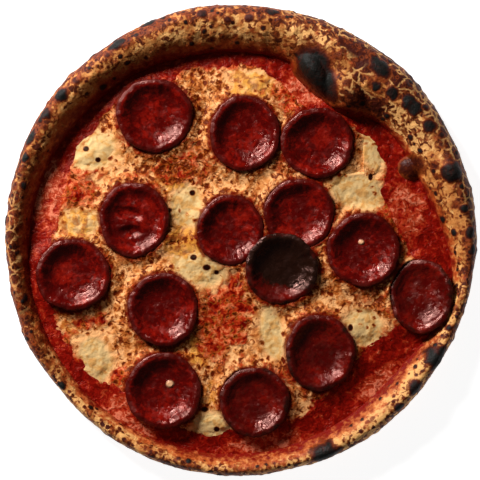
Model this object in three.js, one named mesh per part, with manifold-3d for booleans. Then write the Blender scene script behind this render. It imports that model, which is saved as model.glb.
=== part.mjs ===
// A whole wood-fired diavola pizza, in millimetres, +Z up, resting on z = 0.
// Seen from above, +X is to the right and +Y is up. The pizza is a flat dough disc with a puffed crust
// round it, a layer of tomato sauce, a sheet of browned cheese, white pools of mozzarella, and slices of
// spicy salami that have curled into shallow cups.
import * as THREE from "three";
import { mergeVertices } from "three/addons/utils/BufferGeometryUtils.js";
import Module from "manifold-3d";

const wasm = await Module();
wasm.setup();

const TAU = 2 * Math.PI;
const GOLDEN_ANGLE = Math.PI * (3 - Math.sqrt(5));
const degrees = (value) => (value * Math.PI) / 180;

// ---- Driving sizes ----

const PIZZA_RADIUS = 149.4; // to the crust's widest reach
const BASE_THICKNESS = 3.5; // the dough under the toppings
const GAP = 0.3; // between pieces that lie on each other
const CRUST_SEGMENTS = 96; // round the pizza

// Layers: heights over the floor, and the waves and lumps of their tops.
const SAUCE = { top: 5.2, heap: 0.45, lump: 0.4, pitch: 15, lip: 0.5, margin: 0.6 };
const CHEESE = { top: 7.0, wave: 0.45, pitch: 46, edgeTop: 6.3, thinsFrom: 0.86, segments: 64 };

// The topped field is a circle off the pizza's centre, so the crust is widest at the upper right.
const FIELD = { radius: 127, x: -6, y: -8 };
const CRUST_WAVES = [
  { times: 3, depth: 0.45, phase: 1 },
  { times: 7, depth: 0.35, phase: 2.1 },
  { times: 11, depth: 0.25, phase: 0 },
];
// Where the field reaches further out (+) or the crust bulges in (-): direction and spread in degrees.
const FIELD_BULGES = [
  { at: -12, spread: 20, reach: 13 },
  { at: 56, spread: 12, reach: -15 },
];

// How far the cheese stops short of the crust, and where more of the sauce shows.
const CHEESE_MARGIN = 5;
const CHEESE_WAVES = [
  { times: 9, depth: 1.6, phase: 0 },
  { times: 14, depth: 1.2, phase: 1 },
];
const BARE_SAUCE = [
  { at: 8, spread: 18, reach: 20 },
  { at: -45, spread: 22, reach: 15 },
  { at: -85, spread: 18, reach: 6 },
  { at: 66, spread: 12, reach: 6 },
  { at: 172, spread: 18, reach: 8 },
  { at: 240, spread: 12, reach: 6 },
];

// The crust's height grows with its width, less and less, and its top puffs up and down in long and
// short swells.
const CRUST_HEIGHT = { least: 8, rise: 20, width: 20 };
const PUFFS = [
  { height: 1.1, pitch: 34, seed: 1.3 },
  { height: 0.8, pitch: 17, seed: 4.1 },
];
const RIDGE_AT = 0.72; // share of the width, from the field outwards, where the crust is highest
// How full the slope up to the ridge is: its power is this width over the crust's own, within limits, so
// that a narrow crust rises evenly and a wide one starts steeply and is flat on top.
const SLOPE_FULLNESS = { width: 17, least: 0.45, most: 0.9 };
const WIDEST_AT = 0.42; // share of the height where the crust reaches furthest out
const TUCK = 0.34; // share of the width by which the crust curves back in under itself
const SLOPE_STEPS = 6;
const SLOPE_CROWDING = 1.8; // how much closer the slope's rings lie towards its foot
const ROUND_STEPS = 9;

// Bubbles that swell out of the crust towards the middle: centre, half sizes, and turn in degrees. The
// largest has a charred one on its flank, a drop whose tail points along its turn: `taper` is the share
// by which it narrows from its middle to the tail.
const BUBBLES = [
  { x: 67, y: 97, z: 8, long: 22, wide: 16, tall: 18, turn: -48 },
  { x: 49.4, y: 104.6, z: 13, long: 20, wide: 9.1, tall: 11, turn: -57, taper: 0.5 },
  { x: 108.8, y: 46.1, z: 7, long: 7.4, wide: 6.6, tall: 5.4, turn: 20 },
];

// Blisters on the crust: direction round the pizza, how far out over the crust as a share of its width,
// half length round the pizza and half width across the crust.
const BLISTER_SWELL = 0.6; // height over its own middle, as a share of the half width
const BLISTER_SUNK = 0.2; // how far its middle lies under the crust's surface, likewise
const BLISTERS = [
  { at: 18, out: 0.67, long: 8.4, wide: 7.6 },
  { at: -31, out: 0.83, long: 8.6, wide: 5.8 },
  { at: -40, out: 0.78, long: 5, wide: 4.4 },
  { at: -68, out: 0.79, long: 10, wide: 6 },
  { at: 141, out: 0.8, long: 5, wide: 4.4 },
  { at: 147, out: 0.84, long: 4.4, wide: 3.8 },
  { at: 154, out: 0.88, long: 6.4, wide: 3.6 },
  { at: 122, out: 0.87, long: 6, wide: 4 },
  { at: 99, out: 0.83, long: 5, wide: 4.6 },
  { at: 88, out: 0.75, long: 4.6, wide: 4.4 },
  { at: 82, out: 0.87, long: 6, wide: 3.8 },
  { at: 51, out: 0.79, long: 9, wide: 5.4 },
  { at: 38, out: 0.63, long: 8, wide: 5 },
];

// Melted mozzarella: each pool is one or two lobes, as centre, half sizes and turn in degrees.
const POOL_HEIGHT = 2.1;
const POOL_SEGMENTS = 16;
const POOLS = [
  [{ x: -94.7, y: 57.6, long: 17.5, wide: 12.5, turn: 10 }],
  [{ x: -33.9, y: 20.5, long: 13.5, wide: 10, turn: 95 }],
  [{ x: -25.6, y: -17.9, long: 17, wide: 11, turn: -22 }],
  [
    { x: 85.1, y: 59.5, long: 15.5, wide: 7.6, turn: 98 },
    { x: 75.6, y: 30.7, long: 18, wide: 11.5, turn: -12 },
  ],
  [{ x: 78.1, y: -55, long: 12.8, wide: 11, turn: -40 }],
  [{ x: 19.8, y: -57.6, long: 18, wide: 7.5, turn: 100 }],
  [{ x: -92.2, y: -75.5, long: 14.5, wide: 10.5, turn: 110 }],
  [{ x: -16.6, y: -119, long: 14, wide: 10, turn: -5 }],
  [{ x: 7.7, y: 99.8, long: 14, wide: 7.8, turn: -4 }],
  [{ x: -102.4, y: 10.9, long: 14.5, wide: 8.6, turn: 0 }],
];

// The salami slices: centre, half sizes along X and Y, height of the rim's crest over the underside, and
// a lean. A slice leans up by `lean` degrees towards the direction `towards`. A slice that is `pressed`
// has a share of its rim's height held down in that direction by the slice that lies on it, which is
// `lifted`.
const SLICE_THICKNESS = 1.6;
const SLICE_FLOOR = 0.34; // share of the radius that stays flat
const SLICE_CREST = 0.9; // share of the radius where the rim is highest
const SLICE_DROOP = 0.6; // how far the edge droops outside the crest
const SLICE_SEGMENTS = 24;
const PRESSED_SPREAD = 42; // degrees of the rim that a slice lying on it holds down
const SLICE_ROOM = { gap: 0.5, above: 6 }; // kept free round a slice, and over its mouth
const SLICES = [
  { x: -54.4, y: 79.7, rx: 24.3, ry: 23.4, cup: 4.8, lean: 3, towards: 135 },
  { x: 2.6, y: 67.5, rx: 22.4, ry: 24.0, cup: 4.5, lean: 2, towards: 200 },
  { x: 49.3, y: 62.1, rx: 23.0, ry: 22.4, cup: 4.4, lean: 3, towards: 100 },
  { x: -67.5, y: 13.4, rx: 22.1, ry: 23.7, cup: 4.5, lean: 2, towards: 150 },
  { x: -6.1, y: 6.1, rx: 21.3, ry: 22.4, cup: 4.1, lean: 1, towards: 170, pressed: { at: -36, by: 0.4 } },
  { x: 37.8, y: 17.3, rx: 22.4, ry: 22.4, cup: 4.2, lean: 1, towards: 80, pressed: { at: -108, by: 0.42 } },
  { x: 25.9, y: -17.6, rx: 23.2, ry: 22.7, cup: 4.4, lean: 5, towards: 105, lifted: 0.1 },
  { x: 78.7, y: -6.1, rx: 23.0, ry: 23.4, cup: 4.5, lean: 2, towards: 10 },
  { x: 115.6, y: -35.0, rx: 20.6, ry: 23.7, cup: 4, lean: 12, towards: -17 },
  { x: -106.2, y: -22.1, rx: 23.7, ry: 22.7, cup: 4.6, lean: 3, towards: 190 },
  { x: -48.6, y: -43.8, rx: 22.4, ry: 23.4, cup: 4.7, lean: 2, towards: 240 },
  { x: 50.2, y: -71.0, rx: 22.1, ry: 24.3, cup: 4.7, lean: 3, towards: 160 },
  { x: -48.3, y: -95.7, rx: 24.0, ry: 24.0, cup: 4.9, lean: 2, towards: 260 },
  { x: 9.3, y: -102.1, rx: 22.1, ry: 22.1, cup: 4.5, lean: 2, towards: 300 },
];

// ---- Shared shapes ----

// Five ripples, each turned by the golden angle: a smooth unevenness that never repeats, from -1 to 1.
function unevenness(x, y, pitch, seed) {
  let sum = 0;
  for (let k = 0; k < 5; k++) {
    const turn = seed + k * GOLDEN_ANGLE;
    const wavelength = pitch * (1 + 0.22 * k);
    sum += Math.sin((TAU * (x * Math.cos(turn) + y * Math.sin(turn))) / wavelength + seed * (k + 1));
  }
  return sum / 5;
}

// A bell round a direction, worked out on the circle: 1 at the direction and falling off with the spread.
function bell(angle, { at, spread }) {
  const turn = angle - degrees(at);
  const away = Math.atan2(Math.sin(turn), Math.cos(turn));
  return Math.exp(-((away / degrees(spread)) ** 2));
}

const bells = (angle, list) => list.reduce((sum, b) => sum + b.reach * bell(angle, b), 0);

// The topped field's edge in a direction: the off-centre circle, with its bulges.
function fieldEdge(angle) {
  const along = FIELD.x * Math.cos(angle) + FIELD.y * Math.sin(angle);
  const circle = along + Math.sqrt(along ** 2 + FIELD.radius ** 2 - FIELD.x ** 2 - FIELD.y ** 2);
  return circle + bells(angle, FIELD_BULGES);
}

// A wavy edge is a sum of waves round the pizza: `times` waves, each reaching `depth` in and out.
const waves = (angle, list) =>
  list.reduce((sum, { times, depth, phase }) => sum + depth * Math.sin(times * angle + phase), 0);

const pizzaEdge = (angle) => PIZZA_RADIUS + waves(angle, CRUST_WAVES);

const cheeseEdge = (angle) =>
  fieldEdge(angle) - CHEESE_MARGIN - bells(angle, BARE_SAUCE) + waves(angle, CHEESE_WAVES);

// A closed skin from rings of points, from a first centre point, out over the top, and back in
// underneath to a last centre point. Each ring runs anticlockwise seen from above.
function skin(first, rings, last) {
  const count = rings[0].length;
  const positions = [...first, ...rings.flat(2), ...last];
  const end = 1 + rings.length * count;
  const at = (ring, i) => 1 + ring * count + (i % count);
  const faces = [];
  for (let i = 0; i < count; i++) {
    faces.push(0, at(0, i), at(0, i + 1));
    for (let ring = 0; ring + 1 < rings.length; ring++) {
      faces.push(at(ring, i), at(ring + 1, i), at(ring + 1, i + 1));
      faces.push(at(ring, i), at(ring + 1, i + 1), at(ring, i + 1));
    }
    faces.push(at(rings.length - 1, i), end, at(rings.length - 1, i + 1));
  }
  return new THREE.BufferGeometry()
    .setAttribute("position", new THREE.BufferAttribute(new Float32Array(positions), 3))
    .setIndex(faces);
}

// One ring: point(angle) gives [radius, height], about a centre at x, y.
function ring(count, point, x = 0, y = 0) {
  return Array.from({ length: count }, (_, i) => {
    const angle = (i * TAU) / count;
    const [radius, z] = point(angle);
    return [x + radius * Math.cos(angle), y + radius * Math.sin(angle), z];
  });
}

function solidOf(geometry) {
  const bare = geometry.clone();
  bare.deleteAttribute("normal");
  bare.deleteAttribute("uv");
  const merged = mergeVertices(bare, 1e-4);
  return new wasm.Manifold(
    new wasm.Mesh({
      numProp: 3,
      vertProperties: merged.attributes.position.array,
      triVerts: new Uint32Array(merged.index.array),
    }),
  );
}

function geometryOf(solid) {
  const mesh = solid.getMesh();
  return new THREE.BufferGeometry()
    .setAttribute("position", new THREE.BufferAttribute(new Float32Array(mesh.vertProperties), 3))
    .setIndex(new THREE.BufferAttribute(new Uint32Array(mesh.triVerts), 1));
}

// The largest body of a solid: what a cut leaves loose is dropped.
const largest = (solid) => solid.decompose().sort((a, b) => b.volume() - a.volume())[0];

const pizza = new THREE.Group();

function addPiece(name, geometry, material) {
  const mesh = new THREE.Mesh(geometry, material);
  mesh.name = name;
  pizza.add(mesh);
  return mesh;
}

// ---- Crust ----

// The crust's cross-section in a direction. The slope rises from the field to the ridge by a power of a
// sine; the round goes over the ridge, out to the widest reach and back in to the floor.
function crustSection(angle) {
  const inner = fieldEdge(angle);
  const outer = pizzaEdge(angle);
  const width = outer - inner;
  const height = CRUST_HEIGHT.least + CRUST_HEIGHT.rise * (1 - Math.exp(-width / CRUST_HEIGHT.width));
  const ridge = inner + RIDGE_AT * width;
  const { least, most } = SLOPE_FULLNESS;
  const power = THREE.MathUtils.clamp(SLOPE_FULLNESS.width / width, least, most);
  return { inner, outer, width, height, ridge, power, middle: WIDEST_AT * height };
}

// The puffing of the crust, along its own surface: none at the foot of the slope or near the floor.
function puff(radius, angle, fade) {
  const [x, y] = [radius * Math.cos(angle), radius * Math.sin(angle)];
  const swell = ({ height, pitch, seed }) => height * unevenness(x, y, pitch, seed);
  return fade * PUFFS.reduce((sum, each) => sum + swell(each), 0);
}

function slopePoint(angle, share) {
  const s = crustSection(angle);
  const radius = s.inner + (s.ridge - s.inner) * share;
  const rise = Math.sin((Math.PI / 2) * share) ** s.power;
  const z = BASE_THICKNESS + (s.height - BASE_THICKNESS) * rise;
  return [radius, z + puff(radius, angle, rise)];
}

// How far up the slope each of its rings lies.
const slopeShare = (step) => (step / SLOPE_STEPS) ** SLOPE_CROWDING;

function roundPoint(angle, turn) {
  const s = crustSection(angle);
  const under = turn < 0;
  const centre = under ? s.outer - TUCK * s.width : s.ridge;
  const radius = centre + (s.outer - centre) * Math.cos(turn);
  const z = under ? s.middle * (1 + Math.sin(turn)) : s.middle + (s.height - s.middle) * Math.sin(turn);
  const push = puff(radius, angle, under ? Math.cos(turn) ** 2 : 1);
  return [radius + 0.5 * push * Math.cos(turn), under ? z : z + push * Math.sin(turn)];
}

// A point of the crust's top at a share of its width, on the slope or on the round.
function topPoint(angle, out) {
  const past = (out - RIDGE_AT) / (1 - RIDGE_AT);
  return past < 0 ? slopePoint(angle, out / RIDGE_AT) : roundPoint(angle, Math.acos(past));
}

function crustGeometry() {
  const slope = Array.from({ length: SLOPE_STEPS }, (_, k) =>
    ring(CRUST_SEGMENTS, (angle) => slopePoint(angle, slopeShare(k))),
  );
  const round = Array.from({ length: ROUND_STEPS + 1 }, (_, k) =>
    ring(CRUST_SEGMENTS, (angle) => roundPoint(angle, Math.PI / 2 - (k * Math.PI) / ROUND_STEPS)),
  );
  return skin([0, 0, BASE_THICKNESS], [...slope, ...round], [0, 0, 0]);
}

// A bubble is half an ellipsoid over its middle; under it, it is shallow enough to stay in the dough. A
// tapered one is narrower and lower towards its tail, and wider and higher towards its head.
function bubbleGeometry({ x, y, z, long, wide, tall, turn, taper = 0 }, grow = 0) {
  const ball = new THREE.SphereGeometry(1, 16, 9).rotateX(Math.PI / 2);
  const points = ball.attributes.position;
  for (let i = 0; i < points.count; i++) {
    const narrowing = 1 - taper * points.getX(i);
    const height = points.getZ(i);
    points.setY(i, points.getY(i) * narrowing);
    points.setZ(i, height * (grow + (height > 0 ? tall * narrowing : z - BASE_THICKNESS / 2)));
  }
  return ball
    .scale(long + grow, wide + grow, 1)
    .rotateZ(degrees(turn))
    .translate(x, y, z);
}

// What lies on the dough stops just short of the bubbles.
const clearOfBubbles = (geometry) =>
  BUBBLES.reduce((left, b) => left.subtract(solidOf(bubbleGeometry(b, GAP))), solidOf(geometry));

// A blister sits with its middle on the crust's top, its long side along the crust, square to the
// surface there, which is found from two points close to it.
function blisterGeometry({ at, out, long, wide }) {
  const angle = degrees(at);
  const step = 0.03;
  const [radius, z] = topPoint(angle, out);
  const [nearRadius, nearZ] = topPoint(angle, out - step);
  const [farRadius, farZ] = topPoint(angle, out + step);
  return new THREE.SphereGeometry(1, 10, 6)
    .scale(1.1 * wide, 1.1 * long, BLISTER_SWELL * wide)
    .translate(0, 0, -BLISTER_SUNK * wide)
    .rotateY(Math.atan2(nearZ - farZ, farRadius - nearRadius))
    .rotateZ(angle)
    .translate(radius * Math.cos(angle), radius * Math.sin(angle), z);
}

const doughColour = new THREE.MeshStandardMaterial({ color: 0xc98a4b, roughness: 0.75, metalness: 0 });
const swellings = [...BUBBLES.map((b) => bubbleGeometry(b)), ...BLISTERS.map(blisterGeometry)];
const crust = swellings.reduce((dough, swelling) => dough.add(solidOf(swelling)), solidOf(crustGeometry()));
addPiece("crust", geometryOf(crust), doughColour);

// ---- Tomato sauce ----

// The sauce lies on the dough, flat under the cheese and lumpy where it shows, out to a low lip at the
// foot of the crust's slope.
function sauceGeometry() {
  const count = CRUST_SEGMENTS;
  const end = (angle) => fieldEdge(angle) - SAUCE.margin;
  const heap = (share) => (angle) => {
    const start = cheeseEdge(angle) + 1;
    const radius = start + (end(angle) - start) * share;
    const [x, y] = [radius * Math.cos(angle), radius * Math.sin(angle)];
    return [radius, SAUCE.top + SAUCE.heap + SAUCE.lump * unevenness(x, y, SAUCE.pitch, 2.2)];
  };
  const rings = [
    ring(count, (angle) => [cheeseEdge(angle) + SAUCE.lip, SAUCE.top]),
    ring(count, heap(0.3)),
    ring(count, heap(0.65)),
    ring(count, (angle) => [end(angle), SAUCE.top + SAUCE.lip]),
    ring(count, (angle) => [end(angle), BASE_THICKNESS + GAP]),
  ];
  return skin([0, 0, SAUCE.top], rings, [0, 0, BASE_THICKNESS + GAP]);
}

const sauceColour = new THREE.MeshStandardMaterial({ color: 0x8c1608, roughness: 0.35, metalness: 0 });
addPiece("tomato_sauce", geometryOf(largest(clearOfBubbles(sauceGeometry()))), sauceColour);

// ---- Browned cheese ----

// A sheet with a wavy top that thins towards its uneven edge, on a flat underside.
function cheeseTop(x, y) {
  const angle = Math.atan2(y, x);
  const share = Math.hypot(x, y) / cheeseEdge(angle);
  const thin = THREE.MathUtils.smoothstep(share, CHEESE.thinsFrom, 1);
  const sheet = CHEESE.top + CHEESE.wave * unevenness(x, y, CHEESE.pitch, 0.7);
  return sheet + (CHEESE.edgeTop - sheet) * thin;
}

function cheeseGeometry() {
  const wavy = (share) => (angle) => {
    const radius = share * cheeseEdge(angle);
    return [radius, cheeseTop(radius * Math.cos(angle), radius * Math.sin(angle))];
  };
  const shares = [0.12, 0.24, 0.36, 0.48, 0.6, 0.72, 0.84, 0.95, 1];
  const top = shares.map((share) => ring(CHEESE.segments, wavy(share)));
  const under = SAUCE.top + GAP;
  const sole = ring(CHEESE.segments, (angle) => [cheeseEdge(angle) - GAP, under]);
  return skin([0, 0, cheeseTop(0, 0)], [...top, sole], [0, 0, under]);
}

const cheeseColour = new THREE.MeshStandardMaterial({ color: 0xd9a466, roughness: 0.5, metalness: 0 });
addPiece("melted_cheese", geometryOf(largest(clearOfBubbles(cheeseGeometry()))), cheeseColour);

// ---- Salami ----

// A slice curled into a shallow cup, about its own centre: flat in the middle, then up to a crest, whose
// height is uneven and lower where another slice holds it down, and drooping to the edge. The result
// gives a ring of the slice's underside at a share of the radius, lifted and moved out as asked.
function sliceRings(slice, index) {
  const phase = index * GOLDEN_ANGLE;
  const { at, by } = slice.pressed ?? { at: 0, by: 0 };
  const held = (angle) => by * bell(angle, { at, spread: PRESSED_SPREAD });
  const rim = (angle) => {
    const uneven = 1 + 0.12 * Math.sin(2 * angle + phase) + 0.08 * Math.sin(5 * angle + 2 * phase);
    return slice.cup * uneven * (1 - held(angle));
  };
  const reach = (angle) => {
    const oval = (slice.rx * slice.ry) / Math.hypot(slice.ry * Math.cos(angle), slice.rx * Math.sin(angle));
    return oval * (1 + 0.014 * Math.sin(3 * angle + phase) + 0.01 * Math.sin(7 * angle));
  };
  const curl = (share) => THREE.MathUtils.smoothstep(share, SLICE_FLOOR, SLICE_CREST);
  const droop = (share) => SLICE_DROOP * THREE.MathUtils.smoothstep(share, SLICE_CREST, 1);
  const height = (angle, share) => rim(angle) * curl(share) - droop(share);
  return (share, lift, out = 0) =>
    ring(SLICE_SEGMENTS, (angle) => [share * reach(angle) + out, height(angle, share) + lift]);
}

const SLICE_WALL = (SLICE_FLOOR + SLICE_CREST) / 2; // share of the radius half way up the wall

function sliceGeometry(slice, index) {
  const at = sliceRings(slice, index);
  const thick = SLICE_THICKNESS;
  const inside = [at(SLICE_FLOOR, thick), at(SLICE_WALL, thick), at(SLICE_CREST, thick)];
  const outside = [at(1, thick / 2), at(SLICE_CREST, 0), at(SLICE_WALL, 0)];
  return skin([0, 0, thick], [...inside, ...outside], [0, 0, 0]);
}

// The room that a slice keeps free: its own shape thickened, with its mouth filled to well above it.
function roomGeometry(slice, index) {
  const at = sliceRings(slice, index);
  const { gap, above } = SLICE_ROOM;
  const outside = [at(1, -gap, gap), at(SLICE_CREST, -gap, gap), at(SLICE_WALL, -gap, gap)];
  return skin([0, 0, above], [at(1, SLICE_THICKNESS + above, gap), ...outside], [0, 0, -gap]);
}

// A slice rests on the highest cheese under its flat middle; leaning, it turns about the low side of it.
function place(mesh, slice) {
  const flat = SLICE_FLOOR * Math.min(slice.rx, slice.ry);
  const under = ring(12, () => [flat, 0], slice.x, slice.y).map(([x, y]) => cheeseTop(x, y));
  const rest = Math.max(cheeseTop(slice.x, slice.y), ...under) + GAP;
  const lean = degrees(slice.lean);
  const towards = degrees(slice.towards);
  mesh.position.set(slice.x, slice.y, rest + flat * Math.sin(lean) + (slice.lifted ?? 0));
  mesh.quaternion.setFromAxisAngle(new THREE.Vector3(Math.sin(towards), -Math.cos(towards), 0), lean);
  mesh.updateMatrix();
}

const salamiColour = new THREE.MeshStandardMaterial({ color: 0x6e1410, roughness: 0.3, metalness: 0 });
const twoDigits = (index) => String(index + 1).padStart(2, "0");

const slicesRoom = SLICES.map((slice, index) => {
  const mesh = addPiece(`salami_${twoDigits(index)}`, sliceGeometry(slice, index), salamiColour);
  place(mesh, slice);
  return solidOf(roomGeometry(slice, index).applyMatrix4(mesh.matrix));
});

// ---- Mozzarella ----

// A lobe is a low dome with a wavy edge, its flat underside just clear of the cheese.
function lobeGeometry({ x, y, long, wide, turn }, index) {
  const phase = (index + 1) * GOLDEN_ANGLE;
  const start = degrees(turn);
  const reach = (angle) => {
    const [along, across] = [Math.cos(angle - start) / long, Math.sin(angle - start) / wide];
    const wavy = 1 + 0.1 * Math.sin(3 * angle + phase) + 0.05 * Math.sin(5 * angle);
    return wavy / Math.hypot(along, across);
  };
  const circle = (share) => ring(POOL_SEGMENTS, (angle) => [share * reach(angle), 0], x, y);
  const samples = [0, 0.5, 1].flatMap(circle);
  const floor = Math.max(...samples.map(([px, py]) => cheeseTop(px, py))) + GAP;
  const height = (share) => floor + POOL_HEIGHT * (1 - 0.8 * share ** 2);
  const dome = (share) => ring(POOL_SEGMENTS, (angle) => [share * reach(angle), height(share)], x, y);
  const sole = ring(POOL_SEGMENTS, (angle) => [reach(angle) - 0.5, floor], x, y);
  return skin([x, y, floor + POOL_HEIGHT], [dome(0.5), dome(0.8), dome(1), sole], [x, y, floor]);
}

const mozzarellaColour = new THREE.MeshStandardMaterial({ color: 0xefd9a8, roughness: 0.4, metalness: 0 });
POOLS.forEach((lobes, index) => {
  const whole = lobes.map((lobe) => solidOf(lobeGeometry(lobe, index))).reduce((a, b) => a.add(b));
  const clear = slicesRoom.reduce((pool, room) => pool.subtract(room), whole);
  addPiece(`mozzarella_${twoDigits(index)}`, geometryOf(largest(clear)), mozzarellaColour);
});

export default pizza;
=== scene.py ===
"""A whole wood-fired diavola pizza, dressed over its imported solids.

Every form is worked out in millimetres in the frame's own axes and put into its mesh in metres. The crust,
the sauce and the cheese repeat the outlines and heights of their solids on finer grids, with the relief,
browning and stains of the baked food added. The salami slices take their places and sizes from the frame.
"""

import itertools
import logging
import math
from dataclasses import dataclass, field
from enum import Enum
from typing import Any

import bpy
import numpy as np
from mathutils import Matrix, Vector
from numpy.typing import NDArray


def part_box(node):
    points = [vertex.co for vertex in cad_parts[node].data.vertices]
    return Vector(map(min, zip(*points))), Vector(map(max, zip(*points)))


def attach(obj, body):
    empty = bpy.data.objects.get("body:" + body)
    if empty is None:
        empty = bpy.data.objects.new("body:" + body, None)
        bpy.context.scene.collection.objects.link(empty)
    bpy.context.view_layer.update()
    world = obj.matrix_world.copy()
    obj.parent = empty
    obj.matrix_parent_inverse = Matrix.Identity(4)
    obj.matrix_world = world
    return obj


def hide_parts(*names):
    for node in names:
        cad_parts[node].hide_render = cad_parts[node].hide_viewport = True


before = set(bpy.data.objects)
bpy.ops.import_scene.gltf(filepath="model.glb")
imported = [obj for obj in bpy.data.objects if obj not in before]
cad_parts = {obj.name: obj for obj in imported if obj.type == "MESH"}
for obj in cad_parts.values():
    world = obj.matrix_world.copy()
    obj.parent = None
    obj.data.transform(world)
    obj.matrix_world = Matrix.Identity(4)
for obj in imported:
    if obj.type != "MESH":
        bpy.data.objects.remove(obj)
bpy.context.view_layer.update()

log = logging.getLogger("pizza")

Array = NDArray[np.float64]
Indices = NDArray[np.int64]
Band = tuple[float, float]

MM = 0.001
TAU = 2.0 * math.pi
RIGHT_ANGLE = math.pi / 2.0
GOLDEN_ANGLE = math.pi * (3.0 - math.sqrt(5.0))
TINY = 1e-9
RIPPLES = 5
RIPPLE_GROWTH = 0.22


# ---- Numbers on surfaces ----


def smooth_step(value: Array, low: float, high: float) -> Array:
    """Rise from 0 to 1 between two values, with level ends.

    Args:
        value: where the step is read.
        low: the value at which it leaves 0.
        high: the value at which it reaches 1.

    Returns:
        3 t squared minus 2 t cubed, where t is the share of the way from low to high.
    """
    share = np.clip((value - low) / (high - low), 0.0, 1.0)
    return share * share * (3.0 - 2.0 * share)


def fade(value: Array, low: float, high: float) -> Array:
    """Fall from 1 to 0 between two values, with level ends."""
    return 1.0 - smooth_step(value, low, high)


def polar(radius: Array | float, angle: Array) -> Array:
    """Give the places at a radius and an angle, by the angle's cosine and sine."""
    return np.stack([radius * np.cos(angle), radius * np.sin(angle)], axis=-1)


def bearing(places: Array) -> tuple[Array, Array]:
    """Give how far from the middle and in which direction places lie."""
    return np.hypot(places[..., 0], places[..., 1]), np.arctan2(places[..., 1], places[..., 0])


def lifted(places: Array, height: Array) -> Array:
    """Join places and their heights into points."""
    return np.concatenate([places, height[..., None]], axis=-1)


def unevenness(places: Array, pitch: float, seed: float) -> Array:
    """Add ripples, each turned by the golden angle and longer than the last, as on the solids.

    Args:
        places: an array whose last axis holds x and y in mm.
        pitch: wavelength of the first ripple in mm.
        seed: turn of the first ripple in radians.

    Returns:
        The mean of the ripples' sines, from -1 to 1.
    """
    ripple = np.arange(RIPPLES)
    along = places @ polar(1.0, seed + ripple * GOLDEN_ANGLE).T
    waves = np.sin(TAU * along / (pitch * (1.0 + RIPPLE_GROWTH * ripple)) + seed * (ripple + 1))
    return waves.mean(axis=-1)


class Grain:
    """Random unevenness in the plane or in space, the same on each run.

    A table of random numbers is read at the corners of a lattice through a hash of the corner's whole
    coordinates and a salt, which tells one number of a corner from another.
    """

    PRIMES = (73856093, 19349663, 83492791)
    SALT_PRIME = 7919
    TABLE = 8192
    LAYER_SHIFT = 31.7
    SPOT_MARGIN = 0.1
    SPOT_SALT = 5

    def __init__(self, seed: int) -> None:
        """Fill the table from one seed."""
        self.table = np.random.default_rng(seed).uniform(0.0, 1.0, self.TABLE)

    def at(self, corner: Indices, salt: int = 0) -> Array:
        """Look up a random number, from 0 to 1, for each lattice corner.

        Args:
            corner: whole coordinates, along the last axis.
            salt: which of the corner's numbers is asked for.

        Returns:
            The table's entry at the exclusive or of the coordinates, each times a prime of its own.
        """
        key = np.full(corner.shape[:-1], salt * self.SALT_PRIME, dtype=np.int64)
        for axis in range(corner.shape[-1]):
            key ^= corner[..., axis] * self.PRIMES[axis]
        return self.table[key % self.TABLE]

    def smooth(self, places: Array, pitch: float) -> Array:
        """Blend the corners' random numbers smoothly over the cells between them.

        Args:
            places: an array whose last axis holds two or three coordinates in mm.
            pitch: size of a cell in mm.

        Returns:
            Values from -1 to 1: each corner's number, weighted by the quintic step along each axis.
        """
        scaled = places / pitch
        low = np.floor(scaled).astype(np.int64)
        share = scaled - low
        share = share**3 * (share * (share * 6.0 - 15.0) + 10.0)
        total = np.zeros(places.shape[:-1])
        for corner in itertools.product((0, 1), repeat=places.shape[-1]):
            weight = np.prod(np.where(np.array(corner) == 1, share, 1.0 - share), axis=-1)
            total += weight * self.at(low + np.array(corner))
        return 2.0 * total - 1.0

    def layered(self, places: Array, pitch: float, layers: int = 3) -> Array:
        """Add layers of smooth unevenness, each half as coarse and half as high as the one before."""
        parts = [self.smooth(places + self.LAYER_SHIFT * k, pitch / 2**k) / 2**k for k in range(layers)]
        return np.sum(parts, axis=0) / (2.0 - 0.5 ** (layers - 1))

    def spots(self, places: Array, pitch: float) -> tuple[Array, Array]:
        """Scatter one spot in each cell of a lattice and find the nearest one to each place.

        Args:
            places: an array whose last axis holds two or three coordinates in mm.
            pitch: size of a cell in mm.

        Returns:
            The distance in mm to the nearest spot, and that spot's own random number from 0 to 1.
        """
        scaled = places / pitch
        low = np.floor(scaled).astype(np.int64)
        axes = range(places.shape[-1])
        nearest = np.full(places.shape[:-1], np.inf)
        identity = np.zeros(places.shape[:-1])
        for offset in itertools.product((-1, 0, 1), repeat=len(axes)):
            cell = low + np.array(offset)
            jitter = np.stack([self.at(cell, 1 + axis) for axis in axes], axis=-1)
            spot = cell + self.SPOT_MARGIN + (1.0 - 2.0 * self.SPOT_MARGIN) * jitter
            away = np.linalg.norm(scaled - spot, axis=-1)
            identity = np.where(away < nearest, self.at(cell, self.SPOT_SALT), identity)
            nearest = np.minimum(nearest, away)
        return nearest * pitch, identity


@dataclass(frozen=True)
class Rough:
    """Layered unevenness: its height, its pitch in mm, its layers, and a shift that sets it apart."""

    height: float
    pitch: float
    layers: int = 3
    shift: float = 0.0

    def over(self, grain: Grain, places: Array) -> Array:
        """Give the unevenness at each place."""
        return self.height * grain.layered(places + self.shift, self.pitch, self.layers)


@dataclass(frozen=True)
class Bell:
    """A swelling towards one direction round the pizza: where, how wide in degrees, and how far."""

    at: float
    spread: float
    reach: float = 1.0

    def over(self, angle: Array) -> Array:
        """Work out the swelling round the pizza.

        Args:
            angle: directions from the pizza's middle.

        Returns:
            The reach times a bell curve of the turn away from the swelling's own direction.
        """
        turn = angle - math.radians(self.at)
        away = np.arctan2(np.sin(turn), np.cos(turn))
        return self.reach * np.exp(-((away / math.radians(self.spread)) ** 2))


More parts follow.
